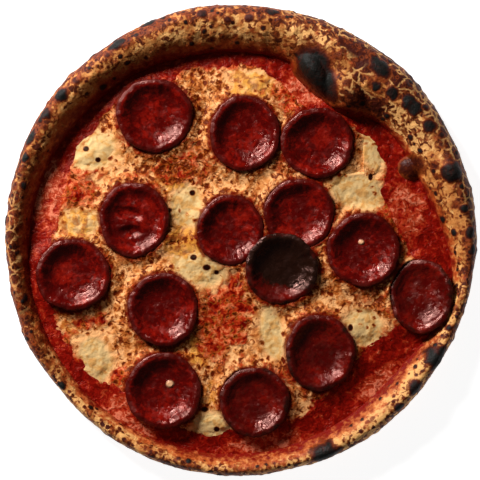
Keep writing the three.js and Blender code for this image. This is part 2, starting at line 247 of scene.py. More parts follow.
@dataclass(frozen=True)
class Wave:
    """A wavy edge round the pizza: how many waves, how deep in mm, and where they start."""

    times: int
    depth: float
    phase: float

    def over(self, angle: Array) -> Array:
        """Give the wave's height in each direction."""
        return self.depth * np.sin(self.times * angle + self.phase)


def around(shapes: tuple[Bell | Wave, ...], angle: Array) -> Array:
    """Add up what the bells or waves reach in each direction."""
    return sum(shape.over(angle) for shape in shapes)


@dataclass(frozen=True)
class Patch:
    """A soft oval area: centre and half sizes in mm, turn in degrees, and strength in its middle.

    A tapered one is a drop, whose tail points along its turn.
    """

    x: float
    y: float
    long: float
    wide: float
    turn: float = 0.0
    strength: float = 1.0
    taper: float = 0.0

    def turned(self, places: Array) -> tuple[Array, Array]:
        """Give each place's distance from the centre along and across the patch, in mm."""
        turn, right, up = math.radians(self.turn), places[..., 0] - self.x, places[..., 1] - self.y
        return right * math.cos(turn) + up * math.sin(turn), up * math.cos(turn) - right * math.sin(turn)

    def narrowing(self, places: Array) -> Array:
        """Give how wide the patch is beside each place, as a share of its width in the middle."""
        return 1.0 - self.taper * np.clip(self.turned(places)[0] / self.long, -1.0, 1.0)

    def ratio(self, places: Array) -> Array:
        """Give the distance from the centre as a share of the half sizes: 1 on the outline."""
        along, across = self.turned(places)
        return np.hypot(along / self.long, across / (self.wide * self.narrowing(places)))

    def cover(self, places: Array, ragged: Array | float = 0.0, soft: float = 0.3) -> Array:
        """Give the patch's strength at each place, fading over a soft band at its ragged edge."""
        return self.strength * fade(self.ratio(places) + ragged, 1.0 - soft, 1.0 + soft)


def covered(
    patches: tuple[Patch, ...], places: Array, ragged: Array | float = 0.0, soft: float = 0.3
) -> Array:
    """Give the strongest cover that any of the patches has at each place."""
    return np.maximum.reduce([patch.cover(places, ragged, soft) for patch in patches])


# ---- Meshes ----


@dataclass
class Skin:
    """A mesh in the making: points in mm, its faces as index arrays, and values for its points."""

    points: Array
    faces: list[Indices]
    values: dict[str, Array] = field(default_factory=dict)

    def make(self, name: str) -> bpy.types.Object:
        """Put the arrays into a smooth-shaded mesh in metres.

        Args:
            name: the piece's name.

        Returns:
            The piece, linked to the scene, with one float attribute for each set of values.
        """
        mesh = bpy.data.meshes.new(name)
        corners = np.concatenate([face.ravel() for face in self.faces])
        sizes = np.concatenate([np.full(len(face), face.shape[1]) for face in self.faces])
        mesh.vertices.add(len(self.points))
        mesh.loops.add(len(corners))
        mesh.polygons.add(len(sizes))
        mesh.vertices.foreach_set("co", (self.points * MM).astype(np.float32).ravel())
        mesh.loops.foreach_set("vertex_index", corners.astype(np.int32))
        starts = np.concatenate([[0], np.cumsum(sizes)[:-1]])
        mesh.polygons.foreach_set("loop_start", starts.astype(np.int32))
        mesh.polygons.foreach_set("use_smooth", np.ones(len(sizes), dtype=bool))
        for label, values in self.values.items():
            attribute = mesh.attributes.new(label, "FLOAT", "POINT")
            attribute.data.foreach_set("value", np.ravel(values).astype(np.float32))
        mesh.update(calc_edges=True)
        mesh.validate()
        piece = bpy.data.objects.new(name, mesh)
        bpy.context.collection.objects.link(piece)
        return piece


def wrapped_skin(rows: Array, values: dict[str, Array]) -> Skin:
    """Close rows of points round an upright axis into a skin, with a pole at each end.

    The first and the last row are drawn together into the poles. Each row runs anticlockwise seen from
    above, and the rows go outwards over the top and back inwards underneath, so faces point out.

    Args:
        rows: points in mm, as rows by columns by three.
        values: values by name, each as rows by columns.

    Returns:
        The skin: quads between neighbouring rows, and a fan of triangles at each pole.
    """
    count, columns = rows.shape[:2]
    inner = rows[1:-1].reshape(-1, 3)
    points = np.vstack([rows[0].mean(axis=0), inner, rows[-1].mean(axis=0)])
    here = 1 + np.arange((count - 2) * columns).reshape(count - 2, columns)
    beside = np.roll(here, -1, axis=1)
    quads = np.stack([here[:-1], here[1:], beside[1:], beside[:-1]], axis=-1).reshape(-1, 4)
    first = np.stack([np.zeros(columns, dtype=np.int64), here[0], beside[0]], axis=-1)
    last = np.stack([here[-1], np.full(columns, len(points) - 1), beside[-1]], axis=-1)
    flat = {
        name: np.concatenate([[value[0].mean()], value[1:-1].ravel(), [value[-1].mean()]])
        for name, value in values.items()
    }
    return Skin(points, [quads, first, last], flat)


def disc_grid(count: int) -> tuple[Array, Array]:
    """Spread a square grid evenly over a disc of radius 1.

    Each square ring of the grid becomes a circle: the longer coordinate gives the radius, and the ratio
    of the shorter to the longer gives the angle within its quarter.

    Args:
        count: cells along each side.

    Returns:
        The radius and the angle of each grid point.
    """
    line = np.linspace(-1.0, 1.0, count + 1)
    a, b = np.meshgrid(line, line, indexing="ij")
    wide = np.abs(a) > np.abs(b)
    longer = np.where(wide, a, b)
    safe = np.where(longer == 0.0, 1.0, longer)
    eighth = TAU / 8.0
    angle = np.where(wide, eighth * b / safe, RIGHT_ANGLE - eighth * a / safe)
    angle = np.where(longer < 0.0, angle + math.pi, angle)
    return np.abs(longer), angle


def slab_skin(places: Array, top: Array, under: float, values: dict[str, Array]) -> Skin:
    """Close a sheet over a disc grid with a level underside.

    Args:
        places: where the grid points lie, in mm.
        top: heights of the sheet in mm.
        under: height of the underside in mm.
        values: values by name on the grid points.

    Returns:
        The skin: the sheet, a wall down from its border, and a fan of triangles underneath.
    """
    count = top.shape[0] - 1
    index = np.arange((count + 1) ** 2).reshape(count + 1, count + 1)
    quads = np.stack([index[:-1, :-1], index[1:, :-1], index[1:, 1:], index[:-1, 1:]], axis=-1)
    border = np.concatenate([index[:-1, 0], index[-1, :-1], index[:0:-1, -1], index[0, :0:-1]])
    sheet = lifted(places, top).reshape(-1, 3)
    rim = sheet[border] * [1.0, 1.0, 0.0] + [0.0, 0.0, under]
    middle = [*places.mean(axis=(0, 1)), under]
    low = len(sheet) + np.arange(len(border))
    beside = np.roll(np.arange(len(border)), -1)
    wall = np.stack([border, low, low[beside], border[beside]], axis=-1)
    sole = np.stack([low, np.full(len(low), len(sheet) + len(low)), low[beside]], axis=-1)
    flat = {
        name: np.concatenate([value.ravel(), value.ravel()[border], [value.mean()]])
        for name, value in values.items()
    }
    return Skin(np.vstack([sheet, rim, middle]), [quads.reshape(-1, 4), wall, sole], flat)


# ---- Shader maths ----


Colour = tuple[float, float, float, float]


class Value:
    """One output of a node, on which Python's operators add Math nodes."""

    def __init__(self, nodes: "Nodes", socket: bpy.types.NodeSocket) -> None:
        """Hold the socket and the tree that it is in."""
        self.nodes = nodes
        self.socket = socket

    def math(self, operation: str, *operands: "Value | float") -> "Value":
        """Add one Math node that works on the operands in their order."""
        return self.nodes.add("ShaderNodeMath", {"operation": operation}, dict(enumerate(operands)))

    def __add__(self, other: "Value | float") -> "Value":
        """Add two values."""
        return self.math("ADD", self, other)

    def __sub__(self, other: "Value | float") -> "Value":
        """Take another value away."""
        return self.math("SUBTRACT", self, other)

    def __rsub__(self, other: float) -> "Value":
        """Take this value away from a number."""
        return self.math("SUBTRACT", other, self)

    def __mul__(self, other: "Value | float") -> "Value":
        """Multiply two values."""
        return self.math("MULTIPLY", self, other)

    __radd__ = __add__
    __rmul__ = __mul__

    def off(self, middle: float) -> "Value":
        """Give the distance from a middle value."""
        return self.math("ABSOLUTE", self - middle)

    def step(self, low: "Value | float", high: "Value | float") -> "Value":
        """Rise smoothly from 0 to 1 between two values."""
        sockets = {"Value": self, "From Min": low, "From Max": high}
        return self.nodes.add("ShaderNodeMapRange", {"interpolation_type": "SMOOTHSTEP"}, sockets)

    def fall(self, low: "Value | float", high: "Value | float") -> "Value":
        """Fall smoothly from 1 to 0 between two values."""
        return 1.0 - self.step(low, high)

    def beside(self, output: str) -> "Value":
        """Take another output of the same node."""
        return Value(self.nodes, self.socket.node.outputs[output])


def shade(*display: int) -> Colour:
    """Turn a display colour, red, green and blue from 0 to 255, into the linear one that shaders take.

    Args:
        display: the three channels.

    Returns:
        Each channel by the sRGB curve, a straight line up to 10 and a power above it, and full alpha.
    """
    shares = [channel / 255.0 for channel in display]
    red, green, blue = (((c + 0.055) / 1.055) ** 2.4 if c > 10.0 / 255.0 else c / 12.92 for c in shares)
    return (red, green, blue, 1.0)


@dataclass(frozen=True)
class Clouds:
    """Cloudy noise: its pitch in mm, how many finer layers it has, their strength, and its warp."""

    pitch: float
    detail: float = 3.0
    roughness: float = 0.55
    warp: float = 0.0


class Nodes:
    """A material's node tree, filled through one method for any node."""

    def __init__(self, name: str) -> None:
        """Start an empty material.

        Args:
            name: the material's name.
        """
        self.material = bpy.data.materials.new(name)
        self.material.use_nodes = True
        self.tree = self.material.node_tree
        self.tree.nodes.clear()
        self.places = self.add("ShaderNodeTexCoord", {}, {}, "Object")

    def node(self, kind: str, settings: dict[str, Any], sockets: dict[int | str, Any]) -> bpy.types.Node:
        """Make one node.

        Args:
            kind: the node's type.
            settings: its settings by name, set first.
            sockets: a value or a link for each of its inputs, by name or number.

        Returns:
            The node.
        """
        node = self.tree.nodes.new(kind)
        for name, setting in settings.items():
            setattr(node, name, setting)
        for name, given in sockets.items():
            if isinstance(given, Value):
                self.tree.links.new(given.socket, node.inputs[name])
            else:
                node.inputs[name].default_value = given
        return node

    def add(
        self, kind: str, settings: dict[str, Any], sockets: dict[int | str, Any], output: int | str = 0
    ) -> Value:
        """Make one node and give one of its outputs, by name or number."""
        return Value(self, self.node(kind, settings, sockets).outputs[output])

    def noise(self, clouds: Clouds, output: int | str = 0) -> Value:
        """Add cloudy noise, read at the piece's own coordinates.

        Args:
            clouds: its sizes.
            output: 0 for the plain value, or Color for three values at once.

        Returns:
            The noise, from 0 to 1.
        """
        sockets = {"Vector": self.places, "Scale": 1.0 / (clouds.pitch * MM), "Detail": clouds.detail}
        sockets |= {"Roughness": clouds.roughness, "Distortion": clouds.warp}
        return self.add("ShaderNodeTexNoise", {}, sockets, output)

    def cells(self, pitch: float, warp: float, feature: str = "F1") -> Value:
        """Add scattered cells whose outlines are warped by noise of the same pitch.

        Args:
            pitch: mean size of a cell in mm.
            warp: how far the noise moves the places at which the cells are read, in mm.
            feature: F1 for the cells' middles, or DISTANCE_TO_EDGE for the seams between them.

        Returns:
            The distance from the feature in pitches. The Color beside it is random for each cell.
        """
        sway = self.noise(Clouds(pitch, roughness=0.6), "Color")
        sockets = {0: sway, 1: (2.0 * warp * MM,) * 3, 2: self.places}
        moved = self.add("ShaderNodeVectorMath", {"operation": "MULTIPLY_ADD"}, sockets)
        sockets = {"Vector": moved, "Scale": 1.0 / (pitch * MM)}
        return self.add("ShaderNodeTexVoronoi", {"feature": feature}, sockets, "Distance")

    def masks(self, *names: str) -> list[Value]:
        """Read the piece's own attributes."""
        return [self.add("ShaderNodeAttribute", {"attribute_name": name}, {}, "Fac") for name in names]

    def chance(self, cells: Value) -> Value:
        """Give each cell's random number, the first channel of its colour."""
        return self.add("ShaderNodeSeparateColor", {}, {0: cells.beside("Color")})

    def lay(self, ground: Value | Colour, *coats: tuple[Value | Colour, Value]) -> Value:
        """Lay coats of colour over a ground, one after another.

        Args:
            ground: the first colour.
            coats: each next colour, and the share by which it covers what lies under it.

        Returns:
            The colour on top.
        """
        for coat, share in coats:
            sockets = {0: share, 6: ground, 7: coat}
            ground = self.add("ShaderNodeMix", {"data_type": "RGBA", "clamp_factor": True}, sockets, 2)
        return ground

    def bump(self, height: Value, strength: float) -> Value:
        """Turn a height in mm into a surface normal."""
        sockets = {"Strength": strength, "Distance": MM, "Height": height}
        return self.add("ShaderNodeBump", {}, sockets, "Normal")

    def finish(self, sockets: dict[str, Any]) -> bpy.types.Material:
        """End the tree in a Principled surface.

        Args:
            sockets: the surface's values and links by name.

        Returns:
            The material.
        """
        surface = self.add("ShaderNodeBsdfPrincipled", {}, sockets)
        self.node("ShaderNodeOutputMaterial", {}, {"Surface": surface})
        return self.material


class Slot(Enum):
    """The record's material slots."""

    CRUST = "crust"
    SAUCE = "sauce"
    CHEESE = "cheese"
    MOZZARELLA = "mozzarella"
    SALAMI = "salami"


def dress(piece: bpy.types.Object, material: bpy.types.Material, slot: Slot, *nodes: str) -> None:
    """Give a piece its finish and its place in the frame.

    Args:
        piece: the new piece.
        material: its finish.
        slot: the record's slot for it; not used.
        nodes: names of the solids that it stands for.
    """
    piece.data.materials.append(material)
    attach(piece, "root")
    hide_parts(*nodes)
    log.info("%s: %d faces, for %s", piece.name, len(piece.data.polygons), ", ".join(nodes))


# ---- Finishes ----


@dataclass(frozen=True)
class Spots:
    """Scattered spots of mixed sizes, each with a darker heart, which grow where a mask is high.

    All but the pitch and the warp, in mm, are shares of the pitch. A spot's size is its random number plus
    the mask, less the rarity, times the growth, plus the least size.
    """

    pitch: float
    warp: float
    rarity: float
    growth: float
    least: float
    halo: float
    inset: float
    blur: float
    full: float = 0.2
    smallest: float = 0.1

    def shares(self, n: Nodes, mask: Value) -> tuple[Value, Value, Value]:
        """Work out how far the spots cover the surface.

        Args:
            n: the material's nodes.
            mask: where spots grow.

        Returns:
            The share of the spots, that of their hearts, and that by which a cell's spot shows at all.
        """
        away = n.cells(self.pitch, self.warp)
        size = (n.chance(away) + mask - self.rarity) * self.growth + self.least
        shows = size.step(self.smallest, self.full)
        spot = away.fall(size, size + self.halo) * shows
        heart = away.fall(size - self.inset, size + self.blur) * shows
        return spot, heart, shows


@dataclass(frozen=True)
class CrustFinish:
    """Baked dough: leopard-spotted from pale tan to brown, near black where a blister burnt."""

    pale: Colour = shade(228, 168, 100)
    tan: Colour = shade(194, 124, 62)
    brown: Colour = shade(120, 50, 13)
    dark: Colour = shade(62, 14, 3)
    burnt: Colour = shade(20, 19, 16)
    oiled: Colour = shade(182, 78, 30)
    stained: Colour = shade(116, 11, 4)
    fine: Clouds = Clouds(1.3)
    mottle: Clouds = Clouds(7.0, 5.0, 0.62, 0.4)
    marks: Clouds = Clouds(4.6, 2.0, 0.5, 1.0)
    damp: Clouds = Clouds(3.2, 4.0, 0.6, 0.5)
    lumps: Clouds = Clouds(3.4, 2.0)
    leopard: Spots = Spots(6.6, 2.6, rarity=1.0, growth=0.6, least=0.16, halo=0.2, inset=0.16, blur=0.06)
    freckles: Spots = Spots(3.4, 1.3, rarity=1.0, growth=0.5, least=0.12, halo=0.2, inset=0.14, blur=0.04)
    web_pitch: float = 7.6
    web_warp: float = 3.4

    def material(self) -> bpy.types.Material:
        """Build the finish from the crust's masks, as coats from the palest to the most burnt.

        Returns:
            Toasted mottles, marks, spots and freckles, a crazed web over the hot parts, the sauce's staining
            with painted shade on the upper left's inner slope, and char over all.
        """
        n = Nodes("baked_dough")
        char, browning_and_shade, stain_and_shade, marked, specked = n.masks("char", "browning_and_shade", "stain_and_shade", "marked", "specked")
        fine, mottle = n.noise(self.fine), n.noise(self.mottle)
        toast = browning_and_shade + (mottle - 0.5) * 2.2 + (fine - 0.5) * 0.5
        marks = n.noise(self.marks) + (marked - 0.5) * 0.16
        spot, heart, shows = self.leopard.shares(n, browning_and_shade)
        freckle, core, _ = self.freckles.shares(n, specked)
        web = n.cells(self.web_pitch, self.web_warp, "DISTANCE_TO_EDGE")
        crazed = browning_and_shade.step(0.65, 0.95) * browning_and_shade.fall(1.5, 1.9)
        wet = stain_and_shade + (mottle - 0.5) * 1.2 + (n.noise(self.damp) - 0.5) * 1.4
        edge = char + (fine - 0.5) * 0.5 + (mottle - 0.5) * 0.9
        colour = n.lay(
            self.pale,
            (self.tan, toast.step(0.05, 0.4)),
            (self.brown, toast.step(0.5, 0.9)),
            (self.dark, toast.step(1.1, 1.5)),
            (self.brown, marks.step(0.52, 0.59) * 0.9),
            (self.dark, marks.step(0.6, 0.67) * 0.9),
            (self.brown, spot),
            (self.dark, heart),
            (self.brown, freckle),
            (self.dark, core),
            (self.dark, web.step(0.1, 0.2) * crazed * 0.75),
            (self.pale, web.fall(0.02, 0.11) * crazed * 0.7),
            # These two coats follow the staining mask, which also paints shade on the inner slope at the
            # upper left.
            (self.oiled, wet.step(0.05, 0.5) * 0.8),
            (self.stained, wet.step(0.4, 0.95)),
            (self.brown, edge.step(0.0, 0.4)),
            (self.dark, edge.step(0.25, 0.65)),
            (self.burnt, edge.step(0.6, 1.05)),
        )
        relief = fine * 0.4 + n.noise(self.lumps) * 0.7 + mottle * 0.8 - shows * 0.1
        return n.finish({
            "Base Color": colour,
            "Roughness": 0.6 - stain_and_shade * 0.2,
            "Specular IOR Level": 0.15,
            "Normal": n.bump(relief, 0.8),
        })


@dataclass(frozen=True)
class SauceFinish:
    """Cooked tomato: wet and lumpy, from dark red to orange, with pale pink-orange painted highlights, more
    of them where the oil gathers.
    """

    dark: Colour = shade(104, 7, 2)
    red: Colour = shade(134, 14, 5)
    orange: Colour = shade(168, 52, 24)
    salmon_highlight: Colour = shade(216, 116, 84)
    glint: Colour = (1.0, 0.5, 0.36, 1.0)
    lumps: Clouds = Clouds(4.6, 4.0, 0.6, 0.6)
    fine: Clouds = Clouds(1.5)

    def material(self) -> bpy.types.Material:
        """Build the finish from the sauce's mask of oil, as coats from the darkest to the painted
        highlights.

        Returns:
            The finish, coloured and raised by the same lumps.
        """
        n = Nodes("tomato_sauce")
        (oil,) = n.masks("oil")
        lumps, fine = n.noise(self.lumps), n.noise(self.fine)
        tone = lumps + (fine - 0.5) * 0.4 + oil * 0.22
        colour = n.lay(
            self.dark,
            (self.red, tone.step(0.4, 0.56)),
            (self.orange, tone.step(0.56, 0.68)),
            # Painted highlights: the palest coat sits on the highest tones as glints.
            (self.salmon_highlight, tone.step(0.7, 0.82)),
        )
        return n.finish({
            "Base Color": colour,
            "Roughness": 0.28 + fine * 0.1,
            "Specular IOR Level": 0.2,
            "Specular Tint": self.glint,
            "Normal": n.bump(lumps * 1.6 + fine * 0.4, 0.8),
        })


@dataclass(frozen=True)
class CheeseFinish:
    """Melted cheese: toasted in mottles, cream over the pools, stained red and amber, with speckles."""

    pale: Colour = shade(242, 174, 112)
    tan: Colour = shade(212, 134, 72)
    toasted: Colour = shade(166, 82, 26)
    dark: Colour = shade(92, 22, 3)
    cream: Colour = shade(216, 178, 120)
    milky: Colour = shade(206, 152, 86)
    deep_red: Colour = shade(104, 4, 1)
    red: Colour = shade(148, 28, 10)
    orange: Colour = shade(178, 56, 18)
    blush: Colour = shade(214, 108, 64)
    oily: Colour = shade(220, 146, 52)
    amber: Colour = shade(148, 66, 10)
    burnt: Colour = shade(26, 6, 3)
    glint: Colour = (1.0, 0.62, 0.36, 1.0)
    fine: Clouds = Clouds(1.2)
    mottle: Clouds = Clouds(5.4, 3.0, 0.5, 0.5)
    streaks: Clouds = Clouds(5.0, 4.0, 0.62, 0.5)
    blots: Clouds = Clouds(4.2, 1.5, 0.5, 1.0)
    worms: Clouds = Clouds(4.8, 2.0, 0.5, 0.3)
    speckles: Spots = Spots(4.4, 2.8, 0.85, 0.5, least=0.12, halo=0.24, inset=0.12, blur=0.1, full=0.16)
    seam_pitch: float = 4.8
    seam_warp: float = 3.4

    def material(self, name: str) -> bpy.types.Material:
        """Build the finish from the cheese's masks, as coats from the palest to the most burnt.

        Args:
            name: the material's name.

        Returns:
            Toasted mottles and seams, cream, amber and seeped-in red, the red near the crust at the upper
            left partly painted shade, then speckles, blots and worms where it browned, some placed as
            painted shade by that crust, a dark ring round each slice that is partly meat juice and partly
            painted shadow, and burnt dots.
        """
        n = Nodes(name)
        cream, stain_and_shade, oil = n.masks("cream", "stain_and_shade", "oil")
        browning_and_shade, dots, ring = n.masks("browning_and_shade", "dots", "ring")
        fine, mottle, streaks = n.noise(self.fine), n.noise(self.mottle), n.noise(self.streaks)
        toast = mottle + (fine - 0.5) * 0.16 + browning_and_shade * 0.06
        seams = n.cells(self.seam_pitch, self.seam_warp, "DISTANCE_TO_EDGE")
        net = (browning_and_shade * 0.6 + (streaks - 0.5) * 4.0).step(0.0, 0.8)
        white = n.lay(self.cream, (self.milky, (mottle + (fine - 0.5) * 0.2).step(0.45, 0.62)))
        amber = n.lay(self.oily, (self.amber, streaks.step(0.46, 0.6)))
        thin = streaks + (fine - 0.5) * 0.12
        reds = n.lay(
            self.blush,
            (self.orange, thin.fall(0.52, 0.6)),
            (self.red, thin.fall(0.45, 0.53)),
            (self.deep_red, thin.fall(0.38, 0.45)),
        )
        soaked_and_shaded = (stain_and_shade + (mottle - 0.5) * 1.6).step(0.2, 0.75)
        speckle, heart, _ = self.speckles.shares(n, browning_and_shade)
        blots = n.noise(self.blots) + (browning_and_shade - 0.5) * 0.14 - cream * 0.2
        wormy = (browning_and_shade + (streaks - 0.5) * 2.0).step(0.3, 0.75)
        singed = dots + (fine - 0.5) * 0.3
        colour = n.lay(
            self.pale,
            (self.tan, toast.step(0.44, 0.58)),
            (self.toasted, toast.step(0.6, 0.68)),
            (self.dark, toast.step(0.69, 0.78)),
            (self.toasted, seams.fall(0.05, 0.3) * net * 0.4),
            (self.dark, seams.fall(0.02, 0.16) * net * net * 0.35),
            (white, (cream + (mottle - 0.5) * 1.5).step(0.1, 0.9)),
            (amber, (oil + (mottle - 0.5) * 1.8).step(0.2, 0.9) * 0.75),
            (reds, soaked_and_shaded),
            (self.toasted, speckle),
            (self.dark, heart),
            (self.toasted, blots.step(0.54, 0.61) * 0.8),
            (self.dark, blots.step(0.6, 0.67) * 0.9),
            (self.dark, n.noise(self.worms).off(0.5).fall(0.01, 0.04) * wormy * 0.85),
            # Partly painted shadow: a dark red ring hugging each slice stands for the shade round its rim as
            # well as for meat juice.
            (self.deep_red, (ring + (mottle - 0.5) * 1.4).step(0.35, 1.0) * 0.8),
            (self.dark, singed.step(0.1, 0.45)),
            (self.burnt, singed.step(0.4, 0.7)),
        )
        relief = mottle * 1.3 + fine * 0.3 + streaks * (0.4 + stain_and_shade * 0.8) - heart * 0.3
        return n.finish({
            "Base Color": colour,
            "Roughness": 0.34 + fine * 0.1 - soaked_and_shaded * 0.08,
            "Specular IOR Level": 0.12,
            "Specular Tint": self.glint,
            "Normal": n.bump(relief * (1.0 - cream * 0.6), 0.9),
        })


@dataclass(frozen=True)
class SalamiFinish:
    """Spicy salami: oily dark maroon meat with fat flecks, browner to burnt along the rim."""

    meat: Colour = shade(76, 2, 1)
    bright: Colour = shade(120, 12, 4)
    lit: Colour = shade(150, 30, 14)
    rim: Colour = shade(70, 5, 2)
    fleck: Colour = shade(140, 52, 36)
    fat: Colour = shade(230, 172, 128)
    burnt: Colour = shade(30, 12, 6)
    glint: Colour = (1.0, 0.5, 0.42, 1.0)
    fine: Clouds = Clouds(0.9)
    marbling: Clouds = Clouds(3.0, 4.0, 0.65, 0.5)
    areas: Clouds = Clouds(13.0, 2.0)
    sheen: Clouds = Clouds(4.0, 2.0)
    fleck_pitch: float = 1.9
    fleck_warp: float = 0.5

    def material(self) -> bpy.types.Material:
        """Build the finish from the slice's masks of rim, burning and fat.

        Returns:
            Marbled meat, lighter in large areas, with a dark rim, small flecks of fat, burnt parts and
            the large grain of fat.
        """
        n = Nodes("spicy_salami")
        rim, burning, fat = n.masks("rim", "burning", "fat")
        marbling = n.noise(self.marbling)
        tone = marbling + (n.noise(self.areas) - 0.5) * 0.9
        flecks = n.cells(self.fleck_pitch, self.fleck_warp)
        few = n.chance(flecks).step(0.82, 0.9)
        colour = n.lay(
            self.meat,
            (self.bright, tone.step(0.42, 0.68)),
            (self.lit, tone.step(0.68, 0.85)),
            (self.rim, (rim + (marbling - 0.5) * 0.9).step(0.35, 0.9) * 0.85),
            (self.fleck, flecks.fall(0.1, 0.28) * few * (1.0 - rim) * 0.4),
            (self.burnt, (burning + (marbling - 0.5) * 1.3).step(0.25, 0.85)),
            (self.fat, fat),
        )
        return n.finish({
            "Base Color": colour,
            "Roughness": 0.15 + n.noise(self.sheen).step(0.4, 0.6) * 0.22 + rim * 0.1,
            "Specular IOR Level": 0.5,
            "Specular Tint": self.glint,
            "Normal": n.bump(marbling * 0.9 + n.noise(self.fine) * 0.05, 0.6),
        })


@dataclass(frozen=True)
class FloorFinish:
    """A plain pale floor whose own faint glow keeps the shadow on it light."""

    pale: Colour = (0.4, 0.4, 0.4, 1.0)
    glow: float = 2.3

    def material(self) -> bpy.types.Material:
        """Build the finish.

        Returns:
            A dull grey surface that glows.
        """
        n = Nodes("pale_floor")
        sockets = {"Base Color": self.pale, "Roughness": 0.9, "Specular IOR Level": 0.0}
        return n.finish(sockets | {"Emission Color": self.pale, "Emission Strength": self.glow})


# ---- The pizza's plan ----


@dataclass(frozen=True)
class Plan:
    """The outlines seen from above, in mm from the middle, as on the solids."""

    radius: float = 149.4
    field_radius: float = 127.0
    field_x: float = -6.0
    field_y: float = -8.0
    bulges: tuple[Bell, ...] = (Bell(-12, 20, 13), Bell(56, 12, -15))
    crust_waves: tuple[Wave, ...] = (Wave(3, 0.45, 1.0), Wave(7, 0.35, 2.1), Wave(11, 0.25, 0.0))
    cheese_margin: float = 5.0
    cheese_waves: tuple[Wave, ...] = (Wave(9, 1.6, 0.0), Wave(14, 1.2, 1.0))
    bare_sauce: tuple[Bell, ...] = (
        Bell(8, 18, 20),
        Bell(-45, 22, 15),
        Bell(-85, 18, 6),
        Bell(66, 12, 6),
        Bell(172, 18, 8),
        Bell(240, 12, 6),
    )

    def edge(self, angle: Array) -> Array:
        """Give the crust's widest reach: a circle with shallow waves."""
        return self.radius + around(self.crust_waves, angle)

    def field_edge(self, angle: Array) -> Array:
        """Give the topped field's edge in each direction.

        Args:
            angle: directions from the pizza's middle.

        Returns:
            The distance in mm to a circle off the middle, plus the bulges.
        """
        along = self.field_x * np.cos(angle) + self.field_y * np.sin(angle)
        off = self.field_x**2 + self.field_y**2
        circle = along + np.sqrt(along**2 + self.field_radius**2 - off)
        return circle + around(self.bulges, angle)

    def cheese_edge(self, angle: Array) -> Array:
        """Give the cheese's edge: the field's, less a margin and the bare sauce, with waves."""
        narrowed = self.field_edge(angle) - self.cheese_margin - around(self.bare_sauce, angle)
        return narrowed + around(self.cheese_waves, angle)


PLAN = Plan()


# ---- Crust ----


@dataclass(frozen=True)
class Bubble:
    """A large bubble: its middle and height in mm, its half sizes, turn in degrees, and how burnt."""

    oval: Patch
    z: float
    tall: float
    char: float
    bluntness: float = 2.4

    def height(self, places: Array) -> Array:
        """Give the dome's height: full in the middle, falling faster and faster past its edge."""
        dome = 1.0 - self.oval.ratio(places) ** self.bluntness
        return self.z + self.tall * self.oval.narrowing(places) * dome


@dataclass(frozen=True)
class Blister:
    """A burnt blister: direction in degrees, share of the way out over the crust, half sizes in mm."""

    at: float
    out: float
    long: float
    wide: float
    swell: float = 0.2
    char: float = 1.0


